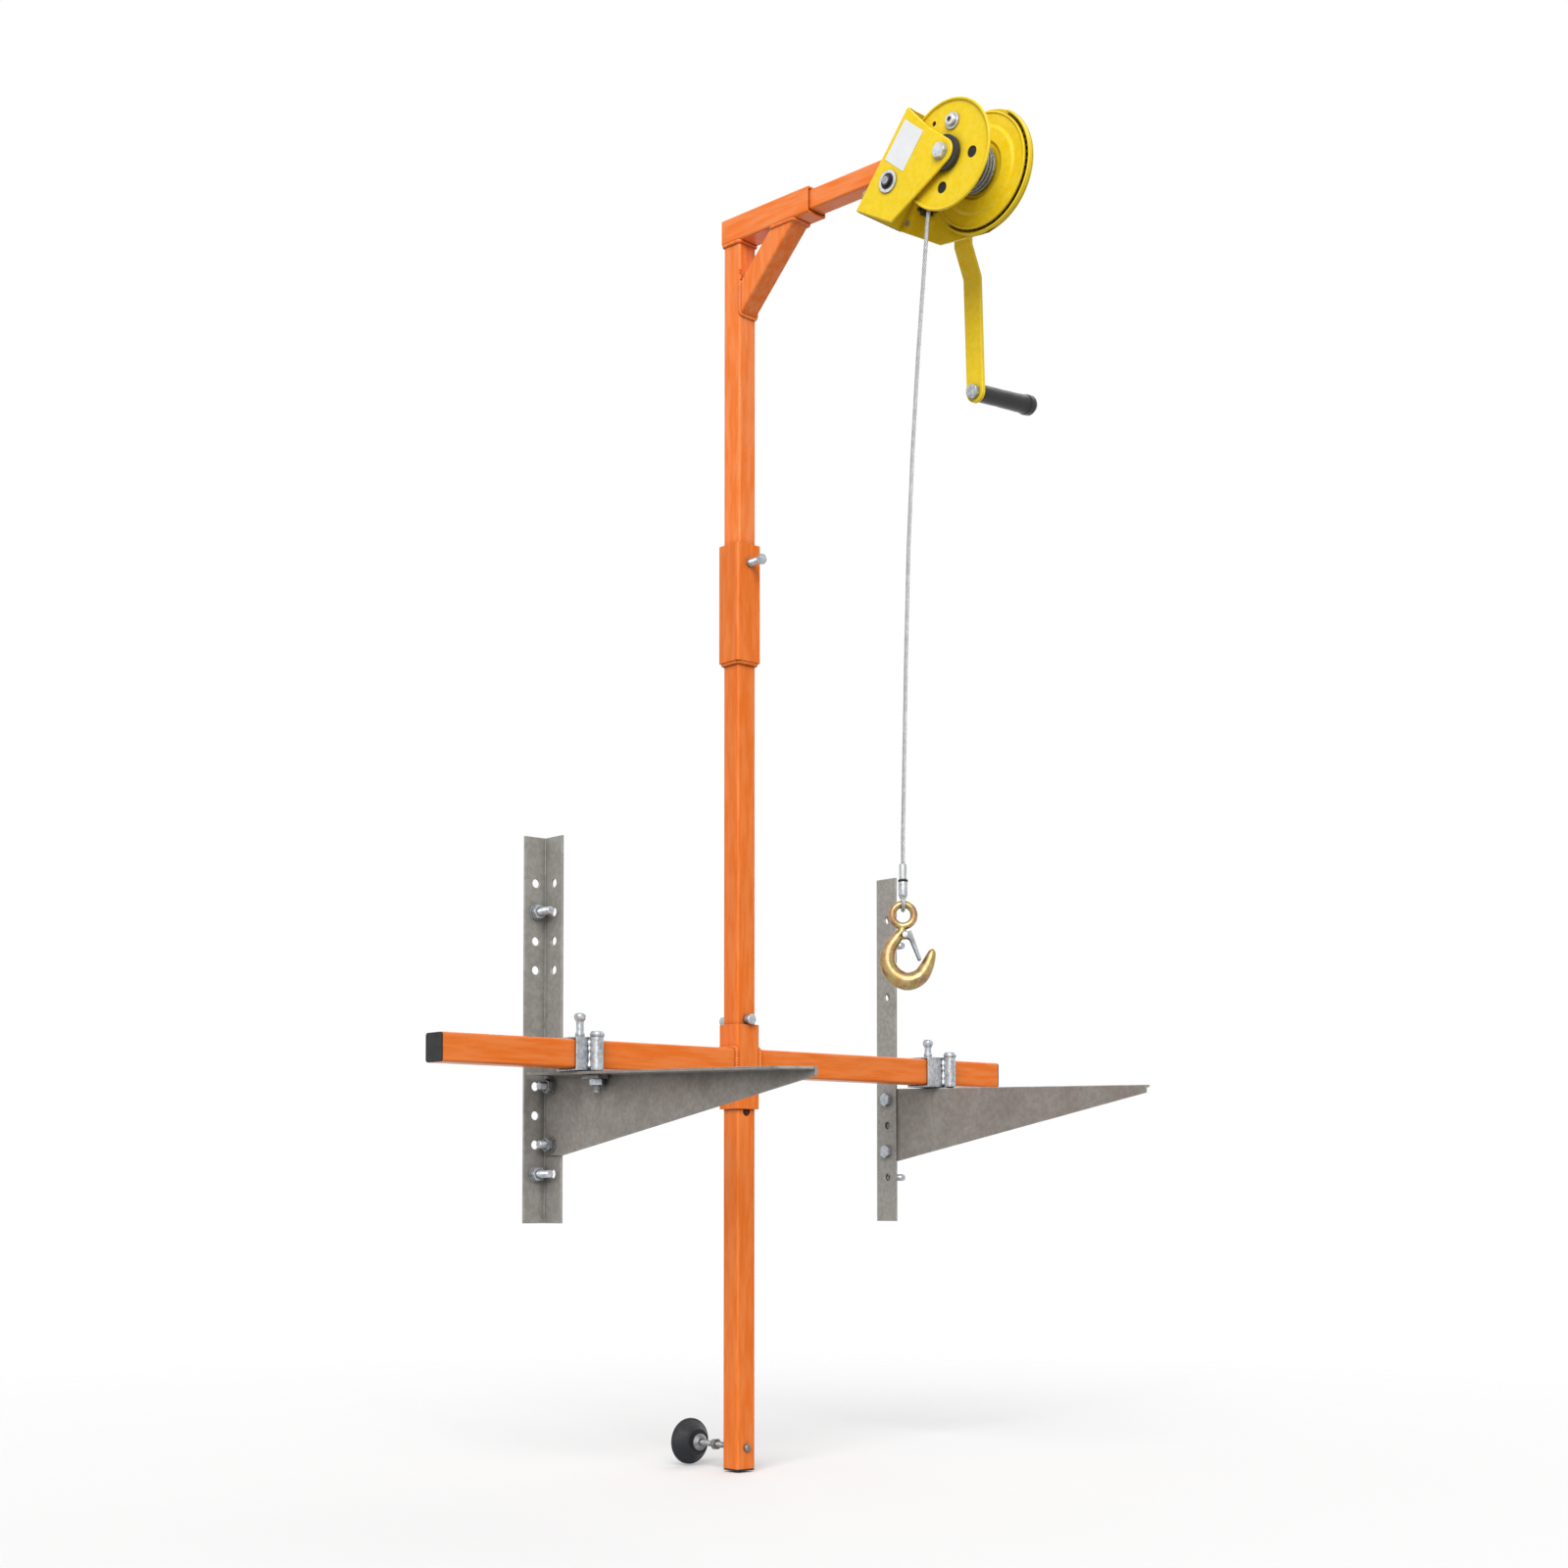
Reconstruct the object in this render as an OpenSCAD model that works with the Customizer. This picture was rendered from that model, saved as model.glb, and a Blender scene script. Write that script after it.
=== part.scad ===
// Air conditioner hoist: a mast and jib in welded square tube with a hand winch,
// clamped by its crossbar to the pair of wall brackets that the outdoor unit sits on.
// Row frame: millimetres, origin in the wall plane at the centre of four free bracket
// holes, X along the crossbar, +Y into the wall, Z up.
// Everything below is drawn from the mast's axis at the crossbar's mid height, and
// put() moves it to the row frame.

/* [Place] */
// mast axis to the wall plane
wall_gap = 103; // [103:1:106]
// mast axis, from the middle of the free wall holes
mast_x = -54.5;
// crossbar mid height, from the middle of the free wall holes
bar_z = -1.5;

/* [Square tube] */
// mast, upper post and brace tube
tube_w = 30; // [29.6:0.1:30]
// wall of the mast and post tube
tube_t = 2; // [1.5:0.1:2.5]
// socket tube through the crossbar
socket_w = 38; // [37.6:0.1:38]
// socket wall
socket_t = 2.5; // [2.3:0.1:2.5]
// sleeve tube on the mast
sleeve_w = 40; // [39.6:0.1:40]
// sleeve wall
sleeve_t = 3; // [2.8:0.1:3]
// crossbar tube
bar_w = 35; // [34.8:0.1:35]
// crossbar wall
bar_t = 2.5; // [2:0.1:3]

/* [Mast] */
// mast foot below the bar's mid height
mast_low = 520; // [515:1:530]
// mast top inside the sleeve
mast_top = 554; // [548:1:560]
// sleeve bottom
sleeve_low = 519;
// sleeve top
sleeve_top = 673; // [668:1:680]
// socket bottom below the bar's mid height
socket_low = 60; // [58:1:61]
// socket top above the bar's mid height
socket_top = 49; // [46:1:49]
// spacing of the two pin holes
pin_pitch = 118; // [118:1:122]
// clevis pin diameter
pin_d = 12; // [11.6:0.1:12]
// pin head thickness
pin_head_t = 3; // [2.5:0.5:3.5]
// pin head diameter
pin_head_d = 17; // [16:0.5:18]
// R-clip wire diameter
clip_d = 2.4; // [2:0.1:2.4]

/* [Crossbar] */
// crossbar end on the left of the mast
bar_left = 460; // [452:1:464]
// crossbar end on the right of the mast
bar_right = 463; // [455:1:467]
// plastic end cap flange thickness
cap_t = 2; // [1.5:0.5:4]

/* [Wall brackets] */
// outer corner of the left bracket
left_x = -232;
// outer corner of the right bracket
right_x = 341;
// bracket leg against the wall
wall_leg = 34; // [33:0.5:35]
// bracket leg standing off the wall
stand_leg = 38.5; // [38:0.5:39]
// bracket sheet thickness
bracket_t = 3; // [2.5:0.1:3]
// bracket top above the bar's mid height
bracket_top = 279;
// bracket bottom
bracket_low = 206;
// hole pitch in the bracket legs
hole_pitch = 36.5;
// upper arm bolt's hole below the bar's mid height
arm_hole_drop = 35;
// hole diameter in the bracket legs
hole_d = 11; // [10.6:0.1:11]
// anchor stud length in front of the wall
anchor_len = 36; // [34:1:38]
// left arm length
left_arm_len = 505; // [495:1:510]
// right arm length
right_arm_len = 484; // [475:1:490]
// level arm web depth at the root
arm_deep = 102; // [100:1:104]
// level arm web depth at the tip
arm_tip = 10; // [9:0.5:12]
// straight part of the web next to the bracket
arm_root = 34; // [30:1:38]
// level arm flange width
arm_flange = 34; // [33:0.5:34]
// cut of the flange's corner at the tip
arm_cut = 26; // [20:1:30]
// droop of the level arms towards their tips, degrees
arm_droop = 1.5;
// how far the left arm stands further out than the right
arm_shift = 6;
// right arm's root from the wall plane
arm_back = 6.5;

/* [Clamps] */
// clamp box outside width
box_w = 41;
// clamp box length along the bar
box_len = 40; // [39:0.5:41]
// clamp box wall
box_t = 2.5; // [2.3:0.1:2.5]
// left clamp box centre
clamp_left_x = -253;
// right clamp box centre
clamp_right_x = 341.5;
// bolt of the left clamp, along the bar
bolt_left_x = -248;
// bolt of the right clamp, along the bar
bolt_right_x = 356;
// clamp bolt tube outside diameter
bolt_tube_d = 16; // [15.6:0.1:16]
// clamp bolt diameter
bolt_d = 10; // [9.8:0.1:10]
// clamp bolt head and nut across flats
bolt_af = 16; // [15.6:0.1:16]
// bolt head height
bolt_head = 7; // [6:0.5:7]
// set screw head across flats
set_af = 15; // [14:0.1:15]
// jaw plate thickness
jaw_t = 5; // [4:0.5:5]

/* [Foot] */
// foot rod height below the bar's mid height
foot_low = 493;
// foot rod diameter
foot_d = 8; // [7.6:0.1:8]
// foot nut across flats
foot_af = 13; // [12.6:0.1:13]
// rubber pad diameter
pad_d = 60; // [58:1:62]
// rubber pad height
pad_h = 20; // [18:1:21]

/* [Upper arm] */
// how far the loose arm stands turned in its sleeve
arm_turn = 5;
// boom tube outside width
boom_w = 34; // [33.6:0.1:34]
// boom tube wall
boom_t = 3; // [2.8:0.1:3]
// boom top
boom_top = 1104.6;
// boom mouth ahead of the post axis
boom_out = 137.5; // [134:0.5:140]
// brace face to face across the corner
brace_out = 112.3;
// grub screw length
grub_len = 5.5; // [5:0.1:6]
// winch arm tube width
reach_w = 26; // [25.6:0.1:26]
// winch arm tube wall
reach_t = 2; // [1.6:0.1:2.4]
// tail of the winch arm tube inside the boom
reach_tail = 62; // [58:1:66]

/* [Winch] */
// tilt of the winch base off upright
winch_tilt = 39.5;
// base edge ahead of the post axis
base_out = 237.4;
// base edge height
base_z = 1034.5;
// mounting plate thickness
plate_t = 5; // [4.5:0.5:5]
// near side plate, outer face
side_near = -36;
// far side plate, inner face
side_far = 43;
// side plate thickness
side_t = 3; // [2.6:0.1:3]
// frame base length
base_len = 132.4;
// drum axis off the base
drum_out = 85.7;
// drum axis along the base
drum_up = 110.7;
// drum front flange radius
front_r = 66;
// drum rear flange radius
rear_r = 69.4;
// drum barrel radius
barrel_r = 24.7;
// rope diameter
rope_d = 5;
// rope clearance between turns
rope_gap = 0.6;
// gear module
gear_m = 2.4;
// teeth of the drum gear
gear_n = 56;
// teeth of the pinion
pinion_n = 14;
// gear face width
gear_w = 4.6; // [4:0.1:4.8]
// direction of the pinion from the drum
pinion_turn = 47;
// rim of the far plate round the gear
rim_r = 75;
// crank length from shaft to grip
crank_len = 216; // [210:1:220]
// crank bar width
crank_w = 26; // [24:1:28]
// crank bar thickness
crank_t = 6; // [5:0.5:6]
// crank joggle outwards
crank_step = 18; // [17:1:19]
// lean of the crank's lower part, degrees
crank_lean = 2.4;
// further lean of the grip
grip_lean = 3;
// grip length
grip_len = 110; // [104:1:114]
// grip diameter
grip_d = 24; // [23:0.5:25]

/* [Rope and hook] */
// hook eye centre ahead of the post axis
hook_out = 317.7;
// hook eye centre sideways
hook_side = -43;
// hook eye centre height
hook_z = 160;
// hook eye ring mean radius
eye_r = 14.2;
// hook bar radius at the eye
eye_bar = 3.3;
// facing of the hook
hook_turn = -46;

/* [Fits] */
// running clearance, radial
run_gap = 0.05;
// bolt clearance, radial
bolt_gap = 0.4;
// gap between parts that rest on one another
rest_gap = 0.2;
// gap between loose neighbours
loose_gap = 0.3;

/* [Hidden] */
$fn = 48;
big = 400;
eps = 0.01;
orange = "#e8743a";
yellow = "#ecc91e";
zinc = "#b9bcc0";
dark = "#26282a";
galv = "#827d72";
gold = "#b9a25a";

half_bar = bar_w / 2;
half_box = box_w / 2;
half_tube = tube_w / 2;
half_sleeve = sleeve_w / 2;
half_socket = socket_w / 2;
flange_z = -half_box - rest_gap;
bolt_y = -half_box - bolt_tube_d / 2;
left_web = left_x - bracket_t;
right_web = right_x + bracket_t;
// arm bolts and anchors sit in the legs' own row of holes
arm_bolt_z = [-arm_hole_drop, -arm_hole_drop - 2 * hole_pitch];
feet_y = [-150, -300];
anchor_z = [6 * hole_pitch - arm_hole_drop, -arm_hole_drop - 3 * hole_pitch];
pin_z = socket_top + rest_gap + pin_d / 2;
boom_mid = boom_top - boom_w / 2;
pinion_r = gear_m * pinion_n / 2;
gear_r = gear_m * gear_n / 2;
centre_gap = pinion_r + gear_r;
shaft_out = drum_out - centre_gap * cos(pinion_turn);
shaft_up = drum_up - centre_gap * sin(pinion_turn);
wound_r = barrel_r + rope_gap / 2 + rope_d / 2;
shaft_d = 12;
drum_bolt_d = 12;
far_out = side_far + side_t;
gear_x = side_far - 1.2 - gear_w;
wheel_x = far_out + 11;
crank_x = far_out + 57;
crank_low_x = crank_x + crank_step;
crank_bend = -72;

module put() translate([mast_x, -wall_gap, bar_z]) children();
module jib() put() rotate([0, 0, arm_turn]) children();
module winch() jib() translate([0, -base_out, base_z]) rotate([winch_tilt, 0, 0]) children();
// along X, centred on the drum or the pinion shaft
module at_drum(x) winch() translate([x, -drum_out, drum_up]) rotate([0, 90, 0]) children();
module at_shaft(x) winch() translate([x, -shaft_out, shaft_up]) rotate([0, 90, 0]) children();

module square_tube(w, t, h) difference() {
  translate([-w / 2, -w / 2, 0]) cube([w, w, h]);
  translate([-w / 2 + t, -w / 2 + t, -1]) cube([w - 2 * t, w - 2 * t, h + 2]);
}
module hexa(af, h) cylinder(h = h, r = af / 2 / cos(30), $fn = 6);
module ring(ro, ri, h) difference() {
  cylinder(h = h, r = ro);
  translate([0, 0, -1]) cylinder(h = h + 2, r = ri);
}
module along_x() rotate([0, 90, 0]) children();
module along_y() rotate([-90, 0, 0]) children();

// wall brackets, side = -1 on the left and 1 on the right
module upright(x, side) put() difference() {
  union() {
    translate([side > 0 ? x : x - wall_leg, wall_gap - bracket_t, -bracket_low])
      cube([wall_leg, bracket_t, bracket_low + bracket_top]);
    translate([side > 0 ? x : x - bracket_t, wall_gap - stand_leg, -bracket_low])
      cube([bracket_t, stand_leg, bracket_low + bracket_top]);
  }
  // four holes at the top and four by the level arm
  for (k = [-3, -2, -1, 0, 4, 5, 6, 7]) {
    z = k * hole_pitch - arm_hole_drop;
    translate([x + side * wall_leg / 2, wall_gap - bracket_t - 1, z])
      along_y() cylinder(h = bracket_t + 2, d = hole_d);
    translate([x - (side > 0 ? 1 : bracket_t + 1), wall_gap - stand_leg / 2 - 2, z])
      along_x() cylinder(h = bracket_t + 2, d = hole_d);
  }
}
module left_upright() color(galv) upright(left_x, -1);
module right_upright() color(galv) upright(right_x, 1);

// level arm: tapered web with a flange along its top
module level_arm(web, side, shift, arm_len, bolt_x) put() difference() {
  y0 = wall_gap - arm_back - shift;
  // the flange droops from the clamp box's back edge
  translate([0, half_box, flange_z]) rotate([arm_droop, 0, 0]) translate([0, -half_box, -flange_z])
  union() {
    translate([side > 0 ? web : web - bracket_t, 0, 0]) rotate([90, 0, 90])
      linear_extrude(height = bracket_t) polygon([[y0, flange_z], [y0 - arm_len, flange_z],
        [y0 - arm_len, flange_z - arm_tip], [y0 - arm_root, flange_z - arm_deep],
        [y0, flange_z - arm_deep]]);
    translate([web, y0, flange_z - bracket_t]) linear_extrude(height = bracket_t)
      polygon([[0, 0], [side * arm_flange, 0], [side * arm_flange, 1.3 * arm_cut - arm_len],
        [side * (arm_flange - arm_cut), -arm_len], [0, -arm_len]]);
  }
  // slot that the clamp bolt passes, and two holes for the unit's feet
  for (y = [bolt_y - 12, bolt_y + 12]) translate([bolt_x, y, flange_z - 8])
    cylinder(h = 12, d = hole_d);
  translate([bolt_x - hole_d / 2, bolt_y - 12, flange_z - 8]) cube([hole_d, 24, 12]);
  translate([0, half_box, flange_z]) rotate([arm_droop, 0, 0]) for (y = feet_y)
    translate([web + side * 18, y - half_box, -20]) cylinder(h = 24, d = hole_d);
  for (z = arm_bolt_z) translate([web - side * 1, wall_gap - stand_leg / 2 - 2, z])
    rotate([0, side * 90, 0]) cylinder(h = bracket_t + 2, d = hole_d);
}
module left_arm() color(galv) level_arm(left_web, -1, arm_shift, left_arm_len, bolt_left_x);
module right_arm() color(galv) level_arm(right_web, 1, 0, right_arm_len, bolt_right_x);

module arm_sets(head, nut) for (s = [-1, 1]) for (z = arm_bolt_z) {
  x = s > 0 ? right_x : left_x;
  translate([x, wall_gap - stand_leg / 2 - 2, z]) rotate([0, s * 90, 0]) {
    if (head) {
      translate([0, 0, -bolt_head]) hexa(bolt_af, bolt_head);
      translate([0, 0, -eps]) cylinder(h = 2 * bracket_t + 12, d = bolt_d);
    }
    if (nut) translate([0, 0, 2 * bracket_t]) difference() {
      hexa(bolt_af, bolt_head);
      translate([0, 0, -1]) cylinder(h = bolt_head + 2, r = bolt_d / 2 + run_gap);
    }
  }
}
module arm_bolts() color(galv) put() arm_sets(true, false);
module arm_nuts() color(galv) put() arm_sets(false, true);

module wall_anchors() color(galv) put() for (x = [left_x - wall_leg / 2, right_x + wall_leg / 2])
  for (z = anchor_z) translate([x, wall_gap, z]) rotate([90, 0, 0]) {
    cylinder(h = anchor_len, d = bolt_d);
    translate([0, 0, bracket_t]) cylinder(h = 2, d = 20);
    translate([0, 0, bracket_t + 2 - eps]) hexa(bolt_af, 8);
  }

// crossbar: two halves butted on the socket's sides
module crossbar() color(orange) put() {
  difference() {
    union() {
      translate([0, 0, -socket_low]) square_tube(socket_w, socket_t, socket_low + socket_top);
      for (s = [-1, 1]) {
        len = (s < 0 ? bar_left : bar_right) - half_socket;
        translate([s * (half_socket - eps), 0, 0]) rotate([0, s * 90, 0])
          square_tube(bar_w, bar_t, len);
      }
      // weld beads round both joints
      for (s = [-1, 1]) for (t = [0, 90, 180, 270]) rotate([t, 0, 0])
        translate([s * half_socket, -half_bar, half_bar - eps]) rotate([0, s > 0 ? 0 : -90, 0])
          rotate([-90, 0, 0]) linear_extrude(height = bar_w)
            polygon(s > 0 ? [[0, 0], [3, 0], [0, -1.4]] : [[0, 0], [0, 3], [1.4, 0]]);
    }
  }
}

module bar_caps() color(dark) put() for (s = [-1, 1]) {
  end = s < 0 ? -bar_left : bar_right;
  inner = bar_w - 2 * bar_t - 2 * run_gap;
  translate([s > 0 ? end : end - cap_t, -half_bar, -half_bar]) cube([cap_t, bar_w, bar_w]);
  translate([s > 0 ? end - 14 : end - eps, -inner / 2, -inner / 2]) cube([14 + eps, inner, inner]);
}

module clamp(x, bolt_x) color(zinc) put() {
  difference() {
    union() {
      translate([x - box_len / 2, -half_box, -half_box]) cube([box_len, box_w, box_w]);
      translate([bolt_x, bolt_y + 0.4, -half_box]) cylinder(h = box_w, d = bolt_tube_d);
    }
    translate([x - box_len / 2 - 1, -half_box + box_t, -half_box + box_t])
      cube([box_len + 2, box_w - 2 * box_t, box_w - 2 * box_t]);
    translate([bolt_x, bolt_y, -half_box - 1]) cylinder(h = box_w + 2, r = bolt_d / 2 + bolt_gap);
    translate([x, 0, half_box - box_t - 1]) cylinder(h = box_t + 2, r = bolt_d / 2 + run_gap);
  }
}
module left_clamp() clamp(clamp_left_x, bolt_left_x);
module right_clamp() clamp(clamp_right_x, bolt_right_x);

module set_screw(len, af) {
  cylinder(h = len, d = bolt_d);
  translate([0, 0, len - eps]) hexa(af, bolt_head);
}
module clamp_set_screws() color(zinc) put() for (p = [[clamp_left_x, 26], [clamp_right_x, 21]])
  translate([p[0], 0, half_bar + loose_gap]) set_screw(p[1], set_af);

// the jaw lies under the drooping flange, which it meets at its front edge
jaw_front = 13;
jaw_top = flange_z - bracket_t - (half_box - bolt_y + jaw_front) * sin(arm_droop) - rest_gap;
module clamp_bolts() color(zinc) put() for (x = [bolt_left_x, bolt_right_x])
  translate([x, bolt_y, 0]) {
    translate([0, 0, half_box]) hexa(bolt_af, bolt_head);
    translate([0, 0, jaw_top - jaw_t - 16]) cylinder(h = half_box - jaw_top + jaw_t + 16 + eps, d = bolt_d);
  }
module clamp_jaws() color(zinc) put() for (b = [[bolt_left_x, -1], [bolt_right_x, 1]])
  translate([b[0], bolt_y, jaw_top - jaw_t]) difference() {
    translate([b[1] > 0 ? -8.6 : -20, -jaw_front, 0]) cube([28.6, 40, jaw_t]);
    translate([0, 0, -1]) cylinder(h = jaw_t + 2, r = bolt_d / 2 + bolt_gap);
  }
module clamp_nuts() color(zinc) put() for (x = [bolt_left_x, bolt_right_x])
  translate([x, bolt_y, jaw_top - jaw_t - 8]) difference() {
    rotate(30) hexa(bolt_af, 8);
    translate([0, 0, -1]) cylinder(h = 10, r = bolt_d / 2 + run_gap);
  }

// mast with the sleeve welded on its top
module mast() color(orange) put() difference() {
  union() {
    translate([0, 0, -mast_low]) square_tube(tube_w, tube_t, mast_low + mast_top);
    translate([0, 0, sleeve_low]) square_tube(sleeve_w, sleeve_t, sleeve_top - sleeve_low);
    // packing welded between mast and sleeve
    translate([0, 0, sleeve_low])
      square_tube(sleeve_w - 2 * sleeve_t + 2 * eps, half_sleeve - sleeve_t - half_tube + 2 * eps, 12);
  }
  for (z = [pin_z, pin_z - pin_pitch]) translate([0, -big / 2, z]) along_y()
    cylinder(h = big, r = pin_d / 2 + bolt_gap);
  translate([0, -big / 2, -foot_low]) along_y() cylinder(h = big, r = foot_d / 2 + run_gap);
  translate([0, -half_sleeve - 1, sleeve_top - 25]) along_y()
    cylinder(h = sleeve_t + 2, r = bolt_d / 2 + run_gap);
}
module mast_cap() color(dark) put() translate([0, 0, -mast_low]) {
  inner = tube_w - 2 * tube_t - 2 * run_gap;
  translate([-half_tube, -half_tube, -2]) cube([tube_w, tube_w, 2]);
  translate([-inner / 2, -inner / 2, -eps]) cube([inner, inner, 12]);
}

pin_back = half_tube + 19;
pin_front = half_tube + 8;
module mast_pin() color(zinc) put() translate([0, 0, pin_z]) difference() {
  union() {
    translate([0, -pin_front, 0]) along_y() cylinder(h = pin_front + pin_back, d = pin_d);
    translate([0, -pin_front - pin_head_t, 0]) along_y() cylinder(h = pin_head_t + eps, d = pin_head_d);
  }
  translate([0, pin_back - 5, -pin_d]) cylinder(h = 2 * pin_d, r = clip_d / 2 + run_gap);
}
module pin_clip() color(zinc) put() translate([0, pin_back - 5, pin_z]) {
  translate([0, 0, -16]) cylinder(h = 32 + eps, d = clip_d);
  translate([10, 0, 16]) rotate([90, 0, 0]) rotate_extrude(angle = 180) translate([10, 0]) circle(d = clip_d);
  translate([20, 0, 8]) cylinder(h = 8 + eps, d = clip_d);
  translate([20, 0, 8]) rotate([0, -162, 0]) cylinder(h = 30, d = clip_d);
  for (p = [[0, 16], [20, 16], [20, 8]]) translate([p[0], 0, p[1]]) sphere(d = clip_d + 0.1);
}

module sleeve_screw() color(zinc) put()
  translate([0, -half_tube - 0.8, sleeve_top - 25]) rotate([90, 0, 0]) set_screw(25.5, 14);

foot_rod_low = -half_tube - 6;
// room between collar and pad, and round the rod, for the pad's tilt
collar_gap = 1.4;
module foot_rod() color(zinc) put() translate([0, 0, -foot_low]) {
  translate([0, foot_rod_low, 0]) along_y() cylinder(h = wall_gap - 6 - foot_rod_low, d = foot_d);
  translate([0, wall_gap - pad_h - collar_gap - 6.5, 0]) along_y() cylinder(h = 6.5, d = 22);
}
module foot_nut() color(zinc) put() translate([0, half_tube + loose_gap, -foot_low]) along_y()
  translate([0, 0, 28]) difference() {
    hexa(foot_af, 6.5);
    translate([0, 0, -1]) cylinder(h = 9, r = foot_d / 2 + run_gap);
  }
module foot_pad() color(dark) put() translate([0, wall_gap, -foot_low]) rotate([90, 0, 0])
  difference() {
    union() {
      cylinder(h = 4, d = pad_d);
      translate([0, 0, 4 - eps]) cylinder(h = pad_h - 4, d1 = pad_d, d2 = 34);
    }
    translate([0, 0, 5.2]) cylinder(h = pad_h - 5, r1 = foot_d / 2 + 0.6, r2 = foot_d / 2 + 2.4);
  }

// jib post, boom and brace, welded into one gusset arm
module jib_post() color(orange) jib() difference() {
  union() {
    translate([0, 0, mast_top + rest_gap]) square_tube(tube_w, tube_t, boom_top - boom_w - mast_top - rest_gap + 1);
    translate([0, boom_w / 2, boom_mid]) rotate([90, 0, 0])
      square_tube(boom_w, boom_t, boom_w / 2 + boom_out);
    // brace at 45 degrees
    translate([-half_tube, 0, 0]) rotate([90, 0, 90]) linear_extrude(height = tube_w)
      polygon([[-brace_out, boom_top - boom_w + 1], [-brace_out + 42.4, boom_top - boom_w + 1],
        [-half_tube + 1, boom_top - boom_w + 1 - (brace_out - 42.4 - half_tube) - 1],
        [-half_tube + 1, boom_top - boom_w + 1 - (brace_out - half_tube) - 1]]);
  }
  translate([-reach_w / 2 - 1, -boom_out - 1, boom_mid - reach_w / 2 - 1])
    cube([reach_w + 2, boom_out + boom_w + 2, reach_w + 2]);
  for (y = [-54, -122]) translate([0, y, boom_top - boom_t - 1])
    cylinder(h = boom_t + 2, r = 4 + run_gap);
}
module boom_screws() color(zinc) jib() for (y = [-54, -122])
  translate([0, y, boom_mid + reach_w / 2 + loose_gap]) {
    difference() {
      cylinder(h = grub_len, d = 8);
      translate([0, 0, grub_len - 3]) hexa(4, 4);
    }
  }

plate_low = 1;
plate_high = 128;
plate_near = -29;
plate_wide = 70;
mount_pos = [[-19, 20], [28, 112]];
module winch_arm() color(orange) {
  difference() {
    union() {
      winch() translate([plate_near, 0, plate_low]) cube([plate_wide, plate_t, plate_high - plate_low]);
      intersection() {
        jib() translate([0, -reach_tail, boom_mid]) rotate([90, 0, 0]) square_tube(reach_w, reach_t, 260);
        winch() translate([-big / 2, plate_t - eps, -big]) cube([big, big, 2 * big]);
      }
    }
    winch() for (p = mount_pos) translate([p[0], -1, p[1]]) along_y()
      cylinder(h = plate_t + 2, r = 5 + bolt_gap);
  }
}
module mount_bolts() color(zinc) winch() for (p = mount_pos) translate([p[0], 0, p[1]]) along_y() {
  translate([0, 0, -side_t - 6.4]) hexa(bolt_af, 6.4);
  translate([0, 0, -side_t - eps]) cylinder(h = side_t + plate_t + 13, d = 10);
}
module mount_nuts() color(zinc) winch() for (p = mount_pos) translate([p[0], plate_t, p[1]]) along_y()
  difference() {
    hexa(bolt_af, 8);
    translate([0, 0, -1]) cylinder(h = 10, r = 5 + run_gap);
  }

// winch frame: base, narrow near side plate and round far side plate with its rim
function touch(p, c, r, s) = let (a = atan2(p[1] - c[1], p[0] - c[0]) + s * acos(r / norm(p - c)))
  c + r * [cos(a), sin(a)];
module side_shape(far) {
  c = [drum_out, drum_up];
  r = far ? rim_r - 0.3 : 16;
  low = far ? [76, 13.5] : [63, 12];
  high = far ? [0, base_len] : [46, 126];
  translate(c) circle(r = r, $fn = 96);
  polygon([[0, 0], low, touch(low, c, r, 1), c, touch(high, c, r, -1), high, [0, base_len]]);
}
module side_plate(x, far) winch() translate([x, 0, 0]) rotate([90, 0, 90]) mirror([1, 0, 0])
  linear_extrude(height = side_t) side_shape(far);
module winch_frame() color(yellow) difference() {
  union() {
    side_plate(side_near, false);
    side_plate(side_far, true);
    winch() translate([side_near, -side_t, 0]) cube([side_far - side_near + side_t, side_t, base_len]);
    // rim of the far plate, open towards the base and the pinion
    difference() {
      at_drum(side_far - 6) ring(rim_r, rim_r - 2.5, 6 + eps);
      winch() translate([side_far - 7, -drum_out + 8, -big / 2]) cube([8, big, big]);
      at_shaft(side_far - 7) cylinder(h = 6.9, r = pinion_r + gear_m + 2);
    }
  }
  at_drum(side_near - 1) cylinder(h = far_out - side_near + 2, r = drum_bolt_d / 2 + run_gap);
  at_shaft(side_near - 1) cylinder(h = side_t + 2, r = 9 + run_gap);
  at_shaft(side_far - 1) cylinder(h = side_t + 2, r = 9 + run_gap);
  winch() for (p = mount_pos) translate([p[0], -side_t - 1, p[1]]) along_y()
    cylinder(h = side_t + 2, r = 5 + bolt_gap);
  winch() translate([side_far - 1, -pawl_pos[0], pawl_pos[1]]) along_x()
    cylinder(h = side_t + 2, r = 4 + run_gap);
}
module winch_label() color("white") winch() translate([side_near - 0.4, -43, 68])
  cube([0.4, 37, 51]);

front_x = side_near + side_t + 8.5;
drum_end = gear_x;
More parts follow.
